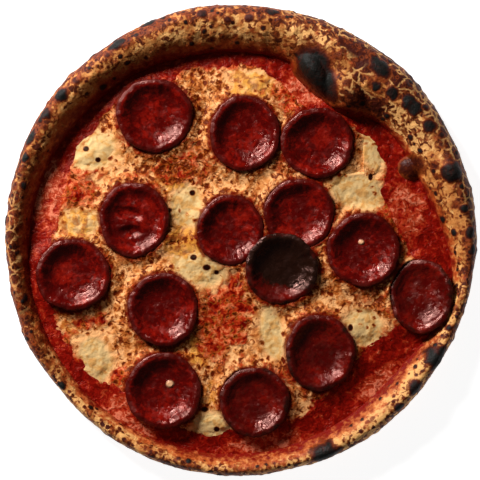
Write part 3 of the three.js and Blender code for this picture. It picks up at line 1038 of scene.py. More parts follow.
@dataclass
class Crust:
    """The dough: a flat base with a puffed, blistered rim round it."""

    base_thickness: float = 3.5
    least_height: float = 8.0
    rise: float = 20.0
    rise_width: float = 20.0
    full_width: float = 17.0
    least_power: float = 0.45
    most_power: float = 0.9
    crowding: float = 1.8
    ridge_at: float = 0.72
    widest_at: float = 0.42
    tuck: float = 0.34
    hidden_shares: tuple[float, ...] = (0.0, 0.4, 0.72)
    sole_shares: tuple[float, ...] = (0.9, 0.6, 0.3, 0.0)
    puffs: tuple[tuple[float, float, float], ...] = ((1.1, 34.0, 1.3), (0.8, 17.0, 4.1))
    bubbles: tuple[Bubble, ...] = (
        Bubble(Patch(67, 97, 22, 16, -48), 8.0, 19.0, 0.0),
        Bubble(Patch(49.4, 104.6, 20, 9.1, -57, taper=0.5), 13.0, 10.5, 1.0),
        Bubble(Patch(108.8, 46.1, 8.4, 7.6, 20), 7.0, 3.4, 0.6),
    )
    blisters: tuple[Blister, ...] = (
        Blister(18, 0.67, 7.4, 6.6, 0.4),
        Blister(-31, 0.83, 8.6, 5.8),
        Blister(-40, 0.78, 5, 4.4),
        Blister(-46.5, 0.83, 3.4, 3.0),
        Blister(-68, 0.79, 10, 6),
        Blister(141, 0.8, 5, 4.4),
        Blister(147, 0.84, 4.4, 3.8),
        Blister(154, 0.88, 6.4, 3.6),
        Blister(159, 0.8, 3.0, 2.6),
        Blister(122, 0.87, 6, 4),
        Blister(113, 0.96, 6, 3.4),
        Blister(99.5, 0.82, 3.8, 3.4, char=0.8),
        Blister(93.2, 0.64, 2.9, 2.7, char=0.75),
        Blister(87.5, 0.7, 3.1, 2.8, char=0.75),
        Blister(82, 0.88, 5.2, 3.2, char=0.9),
        Blister(51, 0.79, 9, 5.4),
        Blister(44, 0.57, 5, 4.0),
        Blister(38, 0.63, 8, 5),
        Blister(31, 0.67, 5, 4.0),
        Blister(8, 0.69, 3.2, 2.8),
        Blister(2, 0.79, 4.0, 3.4),
        Blister(-2.5, 0.84, 3.6, 3.0),
    )
    scorched: tuple[Bell, ...] = (
        Bell(46, 24, 0.9),
        Bell(75, 24, 0.3),
        Bell(120, 20, 0.3),
        Bell(182, 30, 0.6),
        Bell(-100, 20, 0.3),
        Bell(8, 22, 0.5),
    )
    gilded: tuple[Bell, ...] = (Bell(235, 34, 0.35), Bell(-52, 30, 0.35))
    charred_and_shaded: tuple[Patch, ...] = (
        Patch(77, 115, 17, 7, -42, 1.2),
        Patch(96, 101, 10, 5, -50, 0.8),
        # Painted shadow: this patch darkens the hollow below the large bubble as if it lay in the bubble's
        # shade.
        Patch(78, 84, 17, 9, -25, 1.5),
        Patch(70, 97, 5, 14, -20, 0.5),
    )
    golden: tuple[Patch, ...] = (Patch(46, 129, 18, 8, -22, 0.7), Patch(105, 71, 20, 12, 124, 0.8))
    # Towards the upper left, where the inner slope lies in shade, the sauce staining climbs higher and the
    # slope browns: partly real staining, partly painted shade.
    soaked_and_shaded: Bell = Bell(135, 70)
    blushed: Bell = Bell(-64, 42, 9.5)
    pimples: tuple[tuple[float, float, float], ...] = ((10.0, 3.8, 0.6), (5.2, 2.0, 0.3))
    pimple_dome: Band = (0.3, 1.25)
    pimple_char: Band = (0.5, 1.3)
    blister_dome: Band = (0.2, 1.2)
    blister_char: Band = (0.55, 1.3)
    blister_step: float = 0.03
    bubble_softness: float = 0.8
    stain_reach: float = 5.0
    soaked_shade_reach: float = 7.0
    rises_from: Band = (3.0, 7.0)
    rough_from: Band = (4.0, 9.0)
    burns_from: Band = (8.0, 13.0)
    foot: Band = (1.0, 9.0)
    outer_band: Band = (-15.0, -3.0)
    browned_shaded_slope: Band = (0.0, 15.0)
    dough: Rough = Rough(0.35, 6.0)
    blister_edge: Rough = Rough(0.4, 4.0)
    pimple_edge: Rough = Rough(0.35, 2.6, 2, 70.0)
    bubble_edge: Rough = Rough(0.12, 5.0, 2)
    stain_edge: Rough = Rough(2.2, 9.0)
    patch_edge: Rough = Rough(0.4, 9.0, 3, 140.0)
    browning_drift: Rough = Rough(0.2, 16.0)
    marking_drift: Rough = Rough(0.25, 22.0, 2, 60.0)
    grain: Grain = field(default_factory=lambda: Grain(11))
    columns: int = 860
    field_rows: int = 16
    slope_rows: int = 44
    round_rows: int = 32
    under_rows: int = 12

    def section(self, angle: Array) -> tuple[Array, Array, Array, Array]:
        """Work out the cross-section's sizes.

        Args:
            angle: directions round the pizza.

        Returns:
            The radii of the inner edge, the ridge and the outer edge, and the height, which grows with
            the width but less and less.
        """
        inner, outer = PLAN.field_edge(angle), PLAN.edge(angle)
        width = outer - inner
        height = self.least_height + self.rise * (1.0 - np.exp(-width / self.rise_width))
        return inner, inner + self.ridge_at * width, outer, height

    def puff(self, radius: Array, angle: Array, fade_in: Array | float) -> Array:
        """Give the long and short swells of the crust's surface in mm."""
        places = polar(radius, angle)
        return fade_in * sum(height * unevenness(places, pitch, seed) for height, pitch, seed in self.puffs)

    def slope(self, angle: Array, share: Array) -> tuple[Array, Array]:
        """Give radius and height on the inner slope, which rises by a power of a sine to the ridge.

        The power falls as the crust gets wider, so a wide crust starts steeply and is flat on top.

        Args:
            angle: direction round the pizza.
            share: 0 at the slope's foot and 1 at the ridge.

        Returns:
            The radius and the height in mm.
        """
        inner, ridge, outer, height = self.section(angle)
        radius = inner + (ridge - inner) * share
        power = np.clip(self.full_width / (outer - inner), self.least_power, self.most_power)
        rise = np.sin(RIGHT_ANGLE * np.clip(share, 0.0, 1.0)) ** power
        z = self.base_thickness + (height - self.base_thickness) * rise
        return radius, z + self.puff(radius, angle, rise)

    def round(self, angle: Array, turn: Array) -> tuple[Array, Array]:
        """Give radius and height on the round: quarter ovals over the ridge and back in underneath.

        Args:
            angle: direction round the pizza.
            turn: a right angle at the ridge, 0 at the widest reach, minus a right angle on the floor.

        Returns:
            The radius and the height in mm.
        """
        inner, ridge, outer, height = self.section(angle)
        under = turn < 0.0
        centre = np.where(under, outer - self.tuck * (outer - inner), ridge)
        middle = self.widest_at * height
        radius = centre + (outer - centre) * np.cos(turn)
        z = middle + np.where(under, middle, height - middle) * np.sin(turn)
        push = self.puff(radius, angle, np.where(under, np.cos(turn) ** 2, 1.0))
        return radius + 0.5 * push * np.cos(turn), z + np.where(under, 0.0, push * np.sin(turn))

    def crown(self, angle: Array, out: Array) -> Array:
        """Find points on the crust's top.

        Args:
            angle: direction round the pizza.
            out: share of the crust's width, from its inner edge.

        Returns:
            The points in mm, on the slope as far as the ridge and on the round past it.
        """
        past = np.clip((out - self.ridge_at) / (1.0 - self.ridge_at), 0.0, 1.0)
        slope, top = self.slope(angle, out / self.ridge_at), self.round(angle, np.arccos(past))
        radius, height = (np.where(out < self.ridge_at, low, high) for low, high in zip(slope, top))
        return lifted(polar(radius, angle), height)

    def profile(self) -> tuple[Array, Array, Array]:
        """Work out the whole cross-section for every column.

        Returns:
            The radius, the height and the angle, each as rows by columns, from the middle of the top
            over the crust and back to the middle of the underside.
        """
        angle = np.linspace(0.0, TAU, self.columns, endpoint=False)[None, :]
        inner = PLAN.field_edge(angle)
        band = np.linspace(self.hidden_shares[-1], 1.0, self.field_rows, endpoint=False)
        hidden = np.concatenate([self.hidden_shares[:-1], band])[:, None]
        share = np.linspace(0.0, 1.0, self.slope_rows, endpoint=False)[:, None] ** self.crowding
        over = np.linspace(RIGHT_ANGLE, 0.0, self.round_rows)[:, None]
        tucked = np.linspace(0.0, -RIGHT_ANGLE, self.under_rows + 1)[1:, None]
        slope, top, low = self.slope(angle, share), self.round(angle, over), self.round(angle, tucked)
        sole = np.array(self.sole_shares)[:, None] * low[0][-1:]
        flat = np.full_like(hidden * inner, self.base_thickness)
        radius = np.vstack([hidden * inner, slope[0], top[0], low[0], sole])
        height = np.vstack([flat, slope[1], top[1], low[1], np.zeros_like(sole)])
        return radius, height, np.broadcast_to(angle, radius.shape)

    def blister_field(self, points: Array) -> tuple[Array, Array]:
        """Work out the blisters' relief and char on the surface.

        Each blister measures a point by how far round the pizza, across the crust and off the surface
        it lies, each as a share of the blister's size, and is a dome of that distance.

        Args:
            points: the surface in mm.

        Returns:
            How far each point is pushed out in mm, and its char from 0 to 1.
        """
        push, char = np.zeros(points.shape[:-1]), np.zeros(points.shape[:-1])
        wobble = self.blister_edge.over(self.grain, points)
        for blister in self.blisters:
            at = math.radians(blister.at)
            steps = self.blister_step * np.arange(-1, 2)
            nearer, middle, farther = self.crown(np.full(3, at), blister.out + steps)
            away = points - middle
            across = (farther - nearer) / np.linalg.norm(farther - nearer)
            along = np.array([-math.sin(at), math.cos(at), 0.0])
            out = np.cross(across, along)
            sizes = np.array([blister.long, blister.wide, 2.0 * blister.wide])
            ratio = np.linalg.norm(away @ np.stack([along, across, out], axis=-1) / sizes, axis=-1)
            push = np.maximum(push, blister.swell * blister.wide * fade(ratio, *self.blister_dome))
            char = np.maximum(char, blister.char * fade(ratio + wobble, *self.blister_char))
        return push, char

    def spot_field(self, points: Array, likely: Array) -> tuple[Array, Array]:
        """Scatter small blisters of two sizes, of which a share is burnt.

        Args:
            points: the surface in mm.
            likely: the share of the small blisters that is burnt at each place.

        Returns:
            How far each point is pushed out in mm, and its char from 0 to 1.
        """
        push, char = np.zeros(points.shape[:-1]), np.zeros(points.shape[:-1])
        wobble = self.pimple_edge.over(self.grain, points)
        for pitch, largest, height in self.pimples:
            away, identity = self.grain.spots(points, pitch)
            ratio = away / (largest * (0.5 + 0.5 * np.modf(identity * 17.0)[0]))
            push += height * fade(ratio, *self.pimple_dome)
            char = np.maximum(char, fade(ratio + wobble, *self.pimple_char) * (identity < likely))
        return push, char

    def raised(self, places: Array, height: Array, top: Array) -> tuple[Array, Array]:
        """Raise the surface over the large bubbles.

        Args:
            places: where the surface is worked out, in mm.
            height: the surface's height in mm.
            top: 1 on the upper side and 0 underneath.

        Returns:
            The height, a soft maximum of the surface and each dome, and how burnt it is.
        """
        burnt = np.zeros_like(height)
        ragged = self.bubble_edge.over(self.grain, places)
        for bubble in self.bubbles:
            over = (bubble.height(places) - height) / self.bubble_softness
            height = height + top * np.logaddexp(0.0, over) * self.bubble_softness
            burnt = np.maximum(burnt, bubble.char * top * bubble.oval.cover(places, ragged, 0.35))
        return height, burnt

    def outwards(self, points: Array) -> Array:
        """Work out unit normals.

        Args:
            points: the surface in mm, as rows by columns by three.

        Returns:
            The step from row to row, crossed with the step round the pizza, at unit length.
        """
        beside = np.roll(points, -1, axis=1) - np.roll(points, 1, axis=1)
        normals = np.cross(np.gradient(points, axis=0), beside)
        return normals / np.maximum(np.linalg.norm(normals, axis=-1, keepdims=True), TINY)

    def build(self) -> bpy.types.Object:
        """Build the dough: its cross-section carried round, pushed out by bubbles, blisters and grain.

        Returns:
            The piece, with masks of char, of browned colour and of sauce staining, the latter two with some
            painted shade, and of marks and freckles.
        """
        radius, height, angle = self.profile()
        top_rows = len(self.hidden_shares) - 1 + self.field_rows + self.slope_rows + self.round_rows
        top = (np.arange(len(radius)) < top_rows)[:, None].astype(float)
        places = polar(radius, angle)
        height, burnt = self.raised(places, height, top)
        points = lifted(places, height)
        risen = smooth_step(height, *self.rises_from)
        outer = smooth_step(radius - PLAN.edge(angle), *self.outer_band)
        scorch = np.clip(around(self.scorched, angle), 0.0, 1.2)
        likely = (0.08 + 0.16 * outer + 0.3 * scorch) * smooth_step(height, *self.burns_from)
        swell, char = self.blister_field(points)
        pimples, spots = self.spot_field(points, likely)
        rough = self.dough.over(self.grain, points)
        push = (swell + (pimples + rough) * smooth_step(height, *self.rough_from)) * risen
        points = points + self.outwards(points) * push[..., None]
        points[..., 2] = np.maximum(points[..., 2], 0.0)

        climb = (radius - PLAN.field_edge(angle)) + self.stain_edge.over(self.grain, points)
        soaked_and_shaded, gilded = self.soaked_and_shaded.over(angle), around(self.gilded, angle)
        ragged = self.patch_edge.over(self.grain, places)
        # Besides real browning, this mask carries painted shade: the darkened hollow below the large bubble
        # and the browned inner slope towards the upper left.
        browning_and_shade = 0.16 + scorch * (0.4 + 0.6 * outer) + 0.2 * outer + 0.4 * burnt - gilded
        browning_and_shade += covered(self.charred_and_shaded, places, ragged) * top - covered(self.golden, places, ragged)
        browning_and_shade += 0.4 * fade(points[..., 2], *self.foot) * outer
        browning_and_shade += 0.7 * fade(climb, *self.browned_shaded_slope) * soaked_and_shaded * top
        marked = 0.35 + 0.6 * outer + 0.5 * scorch - 1.4 * gilded
        # The staining reaches farther up the slope towards the upper left, partly as painted shade.
        reach = self.stain_reach + self.soaked_shade_reach * soaked_and_shaded + self.blushed.over(angle)
        masks = {
            "char": np.maximum.reduce([char, spots * risen, burnt]),
            "browning_and_shade": browning_and_shade + self.browning_drift.over(self.grain, points),
            "stain_and_shade": top * fade(climb / reach, 0.0, 1.0),
            "marked": marked + self.marking_drift.over(self.grain, points),
            "specked": 0.25 + 0.55 * outer + 0.2 * scorch + 0.3 * gilded,
        }
        return wrapped_skin(points, masks).make("baked_crust")


# ---- Sauce and cheese ----


POOLS: tuple[tuple[Patch, ...], ...] = (
    (Patch(-94.7, 57.6, 17.5, 12.5, 10),),
    (Patch(-33.9, 20.5, 13.5, 10, 95),),
    (Patch(-25.6, -17.9, 17, 11, -22),),
    (Patch(85.1, 59.5, 15.5, 7.6, 98), Patch(75.6, 30.7, 18, 11.5, -12)),
    (Patch(78.1, -55, 12.8, 11, -40),),
    (Patch(19.8, -57.6, 18, 7.5, 100),),
    (Patch(-92.2, -75.5, 14.5, 10.5, 110),),
    (Patch(-16.6, -119, 14, 10, -5),),
    (Patch(7.7, 99.8, 14, 7.8, -4, 0.6),),
    (Patch(-102.4, 10.9, 14.5, 8.6, 0),),
)
STAINED_AND_SHADED: tuple[Patch, ...] = (
    Patch(-105.5, 32, 20, 13, 20, 0.95),
    Patch(-46, 44, 25, 8, 8, 0.75),
    Patch(-8.5, -50, 19, 25, -12, 1.0),
    Patch(40, 92, 20, 14, -10, 1.0),
    Patch(-64, -112, 13, 12, 0, 0.9),
    Patch(-84, -98, 10, 9, 30, 0.6),
    Patch(-62, -8, 9, 6, 0, 0.6),
    Patch(-96, -52, 17, 6, 10, 0.85),
    Patch(96, -70, 18, 10, -40, 0.8),
    Patch(60, -106, 26, 12, 30, 0.7),
    Patch(10, -128, 40, 8, 0, 0.6),
    Patch(95, 10, 10, 22, 0, 0.8),
    Patch(-31, 49, 12, 14, 0, 0.65),
    Patch(31, 48, 12, 14, 0, 0.5),
    Patch(50, -98, 12, 10, 30, 0.6),
    Patch(82, -36, 20, 13, -20, 0.45),
    # Painted shade: darkens the cheese beside the crust at the upper left, where the crust's shade falls.
    Patch(-102, 70, 14, 8, 35, 0.6),
    Patch(-76, -88, 9, 7, -30, 0.9),
)
OILY: tuple[Patch, ...] = (
    Patch(-34, 0, 13, 10, 0, 1.0),
    Patch(-46, 38, 12, 6, -20, 0.8),
    Patch(-25.5, -69, 8, 11, 0, 1.0),
    Patch(-105, -54, 12, 5, 10, 0.8),
    Patch(7, 98, 15, 9, 0, 0.85),
    Patch(-104, 8, 16, 12, 0, 0.75),
    Patch(-14, -98, 12, 8, 0, 0.5),
)
BROWNED_AND_SHADED: tuple[Patch, ...] = (
    Patch(-22, 78, 16, 26, 0, 0.7),
    Patch(-30, 96, 22, 12, 0, 0.7),
    Patch(-74, -30, 12, 22, 0, 0.6),
    Patch(24, -80, 12, 10, 0, 0.7),
    Patch(30, -50, 26, 16, 0, 0.6),
    Patch(82, -36, 22, 14, -20, 0.65),
    Patch(40, -98, 22, 12, 30, 0.3),
    Patch(-46, 46, 26, 10, 0, 0.8),
    Patch(55, -28, 14, 10, 0, 0.7),
    Patch(-70, -62, 14, 8, 0, 0.6),
    Patch(-14, -88, 14, 12, 0, 0.5),
    Patch(-20, 30, 8, 20, 0, 0.5),
    # Painted shade: darkens the cheese by the upper-left crust, where shade falls.
    Patch(-93, 71, 15, 10, 30, 0.9),
)
BURNT_DOTS: tuple[Patch, ...] = (
    Patch(-97.8, 57.9, 1.6, 1.5),
    Patch(-90.1, 50.9, 1.5, 1.3),
    Patch(-30.2, 29.9, 1.6, 1.5),
    Patch(-44.8, 19.0, 1.4, 1.2),
    Patch(-29.5, -11.0, 1.8, 1.5),
    Patch(-21.2, -17.4, 2.1, 1.6),
    Patch(-14.9, -20.5, 1.3, 1.2),
    Patch(82.8, 40.1, 1.2, 2.0),
    Patch(-14.9, -120.1, 1.5, 1.4),
    Patch(-22.5, -107.3, 1.9, 1.5),
    Patch(70.0, -55.6, 1.4, 1.8),
)


@dataclass
class Toppings:
    """The heights of the sauce and the cheese, and their stains, browned colour, painted shade and cream."""

    slices: list["Slice"]
    sauce_top: float = 5.2
    sauce_heap: float = 0.45
    bare_heap: float = 0.7
    cheese_top: float = 7.0
    cheese_wave: float = 0.45
    cheese_pitch: float = 46.0
    cheese_seed: float = 0.7
    cheese_edge_top: float = 6.3
    thins_from: float = 0.86
    cheese_swell: float = 2.0
    bank: float = 2.5
    bank_width: float = 5.5
    dip: float = 0.7
    sauce_gap: float = 0.3
    cheese_gap: float = 0.2
    swell_ends: Band = (-20.0, -2.0)
    sauce_bares: Band = (-11.0, -4.0)
    cheese_ends: Band = (-4.5, 0.5)
    soaked_edge: Band = (-12.0, 0.5)
    cheese_ragged: Rough = Rough(4.0, 11.0)
    sauce_lumps: tuple[Rough, ...] = (Rough(0.6, 7.0), Rough(0.25, 3.2, 2, 90.0))
    cheese_lumps: tuple[Rough, ...] = (Rough(0.5, 7.0, 3, 50.0), Rough(0.28, 2.6, 2))
    mask_edge: Rough = Rough(0.6, 13.0, 4, 200.0)
    grain: Grain = field(default_factory=lambda: Grain(23))

    def sheet(self, places: Array) -> Array:
        """Give the cheese's height as on its solid.

        Args:
            places: where, in mm.

        Returns:
            A level with long waves, thinning towards the cheese's edge.
        """
        away, angle = bearing(places)
        sheet = self.cheese_top + self.cheese_wave * unevenness(places, self.cheese_pitch, self.cheese_seed)
        thin = smooth_step(away / PLAN.cheese_edge(angle), self.thins_from, 1.0)
        return sheet + (self.cheese_edge_top - sheet) * thin

    def beyond(self, places: Array) -> Array:
        """Give each place's distance past the cheese's ragged edge in mm."""
        away, angle = bearing(places)
        return away - PLAN.cheese_edge(angle) + self.cheese_ragged.over(self.grain, places)

    def under_slices(self, places: Array, gap: float) -> Array:
        """Give the level a gap below the slices, or infinity where no slice lies over a place."""
        return np.minimum.reduce([piece.height_over(places) for piece in self.slices]) - gap

    def banked(self, places: Array) -> Array:
        """Give the height of the cheese banked up against the slices: a bell curve of the distance."""
        gap = np.minimum.reduce([piece.beyond(places)[1] for piece in self.slices])
        return self.bank * np.exp(-((np.maximum(gap, 0.0) / self.bank_width) ** 2))

    def swell(self, places: Array) -> Array:
        """Give how far the toppings swell over their solids.

        Args:
            places: where, in mm.

        Returns:
            The swell in mm, fading towards the crust, and the bank against the slices on top of it.
        """
        away, angle = bearing(places)
        inside = fade(away - PLAN.field_edge(angle), *self.swell_ends)
        return self.cheese_swell * inside + self.banked(places)

    def sauce(self, places: Array) -> Array:
        """Give the sauce's height in mm.

        Args:
            places: where, in mm.

        Returns:
            A flat level under the cheese, swelling and lumpy where it is bare, and below the slices.
        """
        lumps = sum(rough.over(self.grain, places) for rough in self.sauce_lumps)
        bare = smooth_step(self.beyond(places), *self.sauce_bares)
        full = self.sauce_top + self.sauce_heap + bare * (self.bare_heap + lumps + self.swell(places))
        return np.minimum(full, self.under_slices(places, self.sauce_gap))

    def cheese(self, places: Array) -> Array:
        """Give the cheese's height in mm.

        Args:
            places: where, in mm.

        Returns:
            The solid's sheet with its swell and fine lumps, dipping under the sauce past its edge, and
            below the slices.
        """
        lumps = sum(rough.over(self.grain, places) for rough in self.cheese_lumps)
        bare = smooth_step(self.beyond(places), *self.cheese_ends)
        full = self.sheet(places) + self.swell(places) + lumps
        level = full * (1.0 - bare) + (self.sauce(places) - self.dip) * bare
        return np.minimum(level, self.under_slices(places, self.cheese_gap))

    def looks(self, places: Array) -> dict[str, Array]:
        """Give the cheese's masks of cream, staining, oil, browned colour, burnt dots and rings round the
        slices, with painted shade in the rings and in a few patches.

        Args:
            places: where, in mm.

        Returns:
            The masks by name, with edges made ragged by noise.
        """
        ragged = self.mask_edge.over(self.grain, places)
        cream = covered(tuple(lobe for pool in POOLS for lobe in pool), places, ragged * 0.4, 0.4)
        near_sauce = smooth_step(self.beyond(places), *self.soaked_edge)
        near_slices = self.banked(places) / self.bank
        stains = [covered(STAINED_AND_SHADED, places, ragged, 0.6), near_sauce, near_slices * (0.4 + ragged)]
        browning_and_shade = np.maximum(covered(BROWNED_AND_SHADED, places, ragged), 0.3 + 0.4 * near_slices)
        return {
            "cream": cream,
            "stain_and_shade": np.maximum.reduce(stains) * (1.0 - 0.8 * cream),
            "oil": covered(OILY, places, ragged * 0.5, 0.5),
            "browning_and_shade": browning_and_shade * (1.0 - 0.9 * cream),
            "dots": covered(BURNT_DOTS, places, soft=0.8),
            # The ring round the slices is partly meat juice and partly painted shadow.
            "ring": near_slices**6,
        }


@dataclass
class Sauce:
    """The layer of tomato sauce, whose edge dips under the crust's slope."""

    crust: Crust
    toppings: Toppings
    under: float = 3.8
    tucked: float = 0.22
    oil_clouds: Rough = Rough(0.25, 12.0)
    cells: int = 250
    oily: tuple[Patch, ...] = (
        Patch(40, 94, 16, 9, -10),
        Patch(106, 20, 12, 17, 15, 0.9),
        # Painted light: this patch, the next and the last lighten sauce that lies in shadow, of the slices
        # at the bottom and of the crust on the left.
        Patch(20, -129, 26, 8, 5, 1.0),
        Patch(-70, -112, 20, 10, -35, 1.0),
        Patch(88, -90, 20, 7, 38, 1.0),
        Patch(-120, 30, 14, 26, 8, 1.0),
    )

    def build(self) -> bpy.types.Object:
        """Build the layer.

        Returns:
            The piece, with a mask of oil, which in its patches at the bottom and on the left is painted
            light.
        """
        share, angle = disc_grid(self.cells)
        places = polar(share * self.crust.slope(angle, self.tucked)[0], angle)
        oil = covered(self.oily, places) + self.oil_clouds.over(self.toppings.grain, places)
        masks = {"oil": np.clip(oil, 0.0, 1.0)}
        return slab_skin(places, self.toppings.sauce(places), self.under, masks).make("cooked_tomato")


@dataclass
class Cheese:
    """The browned sheet of melted cheese."""

    toppings: Toppings
    under: float = 4.4
    overhang: float = 4.0
    edge_dip: float = 2.0
    dips_from: float = 0.97
    cells: int = 300

    def build(self) -> bpy.types.Object:
        """Build the sheet, a little past its edge so that it ends under the sauce.

        Returns:
            The piece, with the cheese's masks.
        """
        share, angle = disc_grid(self.cells)
        places = polar(share * (PLAN.cheese_edge(angle) + self.overhang), angle)
        top = self.toppings.cheese(places) - self.edge_dip * smooth_step(share, self.dips_from, 1.0)
        return slab_skin(places, top, self.under, self.toppings.looks(places)).make("browned_cheese")


# ---- Salami ----


class Doneness(Enum):
    """How far a slice is burnt, as the strength of its burnt mask."""

    GLOSSY = 0.0
    DARK = 0.4


@dataclass(frozen=True)
class Curl:
    """How one slice curled: cup height in mm, lean in degrees, what presses its rim, and its looks."""

    cup: float
    lean: float
    towards: float
    pressed: Bell | None = None
    doneness: Doneness = Doneness.GLOSSY
    hollows: tuple[Patch, ...] = ()
    burnt: Patch | None = None
    fat: Patch | None = None


CURLS: tuple[Curl, ...] = (
    Curl(4.8, 3, 135),
    Curl(4.5, 2, 200),
    Curl(4.4, 3, 100),
    Curl(4.5, 2, 150, hollows=(Patch(-71, 17, 7.5, 3.4, -14), Patch(-70.5, 5, 7, 3.2, 8))),
    Curl(4.1, 1, 170, Bell(-36, 42, 0.4)),
    Curl(4.2, 1, 80, Bell(-108, 42, 0.42)),
    Curl(4.4, 5, 105, doneness=Doneness.DARK, burnt=Patch(28, -11, 24, 15, -18, 0.9)),
    Curl(4.5, 2, 10, fat=Patch(77.0, -1.4, 1.7, 1.4)),
    Curl(4.0, 12, -17, doneness=Doneness.DARK),
    Curl(4.6, 3, 190),
    Curl(4.7, 2, 240),
    Curl(4.7, 3, 160, doneness=Doneness.DARK),
    Curl(4.9, 2, 260, fat=Patch(-44.5, -91.4, 2.2, 2.0)),
    Curl(4.5, 2, 300, doneness=Doneness.DARK),
)


@dataclass
class Slice:
    """A salami slice curled into a cup, placed and sized by its solid's box."""

    index: int
    curl: Curl
    thickness: float = 1.6
    rests_at: float = 0.34
    sunk: float = 0.6
    fullness: float = 3.0
    crest: float = 0.88
    droop: float = 0.5
    ridge_height: float = 0.07
    ridge_count: int = 8
    heave: float = 2.4
    rim_waves: tuple[tuple[int, float, int], ...] = ((2, 0.12, 1), (5, 0.08, 2))
    reach_waves: tuple[tuple[int, float, int], ...] = ((3, 0.014, 1), (7, 0.01, 0))
    on_wall: Band = (0.45, 0.6)
    wall_ends: Band = (0.82, 0.9)
    wrinkled_from: Band = (0.45, 0.8)
    heaved: Band = (0.3, 0.8)
    rim_band: Band = (0.8, 0.97)
    unbroken: Band = (-0.5, 0.2)
    meat: Rough = Rough(0.3, 5.0)
    wrinkles: Rough = Rough(0.3, 1.0, 2)
    wander: Rough = Rough(2.4, 1.8, 2)
    breaks: Rough = Rough(1.0, 15.0, 2, 20.0)
    edge_waves: Rough = Rough(0.02, 0.8, 2)
    singeing: Rough = Rough(0.5, 6.0, 2, 40.0)
    burnt_edge: Rough = Rough(0.4, 9.0, 3, 80.0)
    ring_radius: float = 6.0
    ring_depth: float = 2.0
    relief_beneath: float = 0.3
    fat_height: float = 0.9
    first_seed: int = 100
    edge_at: float = 0.96
    columns: int = 160
    inside_rows: int = 44
    edge_rows: int = 9
    outside_rows: int = 16

    def __post_init__(self) -> None:
        """Read the solid's box: its middle and half sizes, and the level that the slice rests on.

        A leaning cup's rim stands off the slice's own middle by its height times the sine of the lean.
        """
        low, high = (np.array(corner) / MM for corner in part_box(self.node))
        lean, towards = math.radians(self.curl.lean), math.radians(self.curl.towards)
        self.uphill = np.array([math.cos(towards), math.sin(towards)])
        self.middle = (low[:2] + high[:2]) / 2.0 + self.curl.cup * math.sin(lean) * self.uphill
        self.half = (high[:2] - low[:2]) / 2.0
        self.level = low[2] + self.rests_at * self.half.min() * math.sin(lean)
        self.phase = self.index * GOLDEN_ANGLE
        self.grain = Grain(self.first_seed + self.index)

    @property
    def node(self) -> str:
        """Name of the slice's solid."""
        return f"salami_{self.index + 1:02d}"

    def uneven(self, angle: Array, waves: tuple[tuple[int, float, int], ...]) -> Array:
        """Give 1 plus waves: how many, how deep, and how often the slice's own phase turns them."""
        return 1.0 + sum(depth * np.sin(times * angle + turns * self.phase) for times, depth, turns in waves)

    def rim(self, angle: Array) -> Array:
        """Give the rim's height: uneven round the cup, and lower where another slice presses it."""
        held = self.curl.pressed.over(angle) if self.curl.pressed else 0.0
        return self.curl.cup * self.uneven(angle, self.rim_waves) * (1.0 - held)

    def reach(self, angle: Array) -> Array:
        """Give the slice's radius.

        Args:
            angle: directions from the slice's middle.

        Returns:
            The radius in mm of an oval with a slightly wavy edge.
        """
        long, wide = self.half
        oval = long * wide / np.hypot(wide * np.cos(angle), long * np.sin(angle))
        return oval * self.uneven(angle, self.reach_waves)

    def underside(self, angle: Array, share: Array) -> Array:
        """Give the underside's height over where the solid rests.

        Args:
            angle: directions from the slice's middle.
            share: share of the slice's radius.

        Returns:
            The height in mm: sunk in the middle, up in a smooth S to the crest, then drooping.
        """
        bowl = smooth_step(share**self.fullness, 0.0, self.crest**self.fullness)
        droop = self.droop * smooth_step(share, self.crest, 1.0)
        return (self.rim(angle) + self.sunk) * bowl - self.sunk - droop

    def beyond(self, places: Array) -> tuple[Array, Array]:
        """Give each place's direction from the slice's middle, and its distance past the edge in mm."""
        away, angle = bearing(places - self.middle)
        return angle, away - self.reach(angle)

    def height_over(self, places: Array) -> Array:
        """Give the height of the underside over places near the slice, for what lies beneath it.

        Args:
            places: where, in mm.

        Returns:
            The height in mm on the leaning slice, or infinity past its edge.
        """
        angle, gap = self.beyond(places)
        share = 1.0 + gap / self.reach(angle)
        tilt = math.tan(math.radians(self.curl.lean)) * ((places - self.middle) @ self.uphill)
        height = self.level + tilt + self.underside(angle, np.minimum(share, 1.0))
        return np.where(share > 1.0, np.inf, height)

    def section(self, angle: Array) -> tuple[Array, Array]:
        """Work out the slice's cross-section for every column.

        Inside, the surface lies a thickness over the underside. A half oval turns over the edge, and the
        underside closes the section.

        Args:
            angle: directions, as one row.

        Returns:
            The share of the radius and the height in mm, each as rows by columns.
        """
        inside = np.linspace(0.0, self.edge_at, self.inside_rows)[:, None]
        turn = np.linspace(RIGHT_ANGLE, -RIGHT_ANGLE, self.edge_rows)[1:, None]
        outside = np.linspace(self.edge_at, 0.0, self.outside_rows)[1:, None]
        edge = self.edge_at + (1.0 - self.edge_at) * np.cos(turn)
        share = np.vstack([inside, edge, outside])
        over = np.vstack([np.ones_like(inside), 0.5 + 0.5 * np.sin(turn), np.zeros_like(outside)])
        height = self.underside(angle, share) + self.thickness * over
        return np.broadcast_to(share, height.shape), height

    def relief(self, places: Array, share: Array, ring: Array) -> Array:
        """Work out the surface's unevenness.

        Args:
            places: the points on the slice in mm.
            share: their share of the radius.
            ring: coordinates that run round the slice faster than across it.

        Returns:
            The meat's grain, wrinkles that run in from the edge, and low broken ridges round the wall.
        """
        wrinkles = self.wrinkles.over(self.grain, ring) * smooth_step(share, *self.wrinkled_from)
        wander = self.wander.over(self.grain, ring[-1:])
        ridges = self.ridge_height * np.sin(TAU * self.ridge_count * share + wander)
        ridges = ridges * smooth_step(share, *self.on_wall) * fade(share, *self.wall_ends)
        ridges = ridges * smooth_step(self.breaks.over(self.grain, places), *self.unbroken)
        return self.meat.over(self.grain, places) + wrinkles + ridges

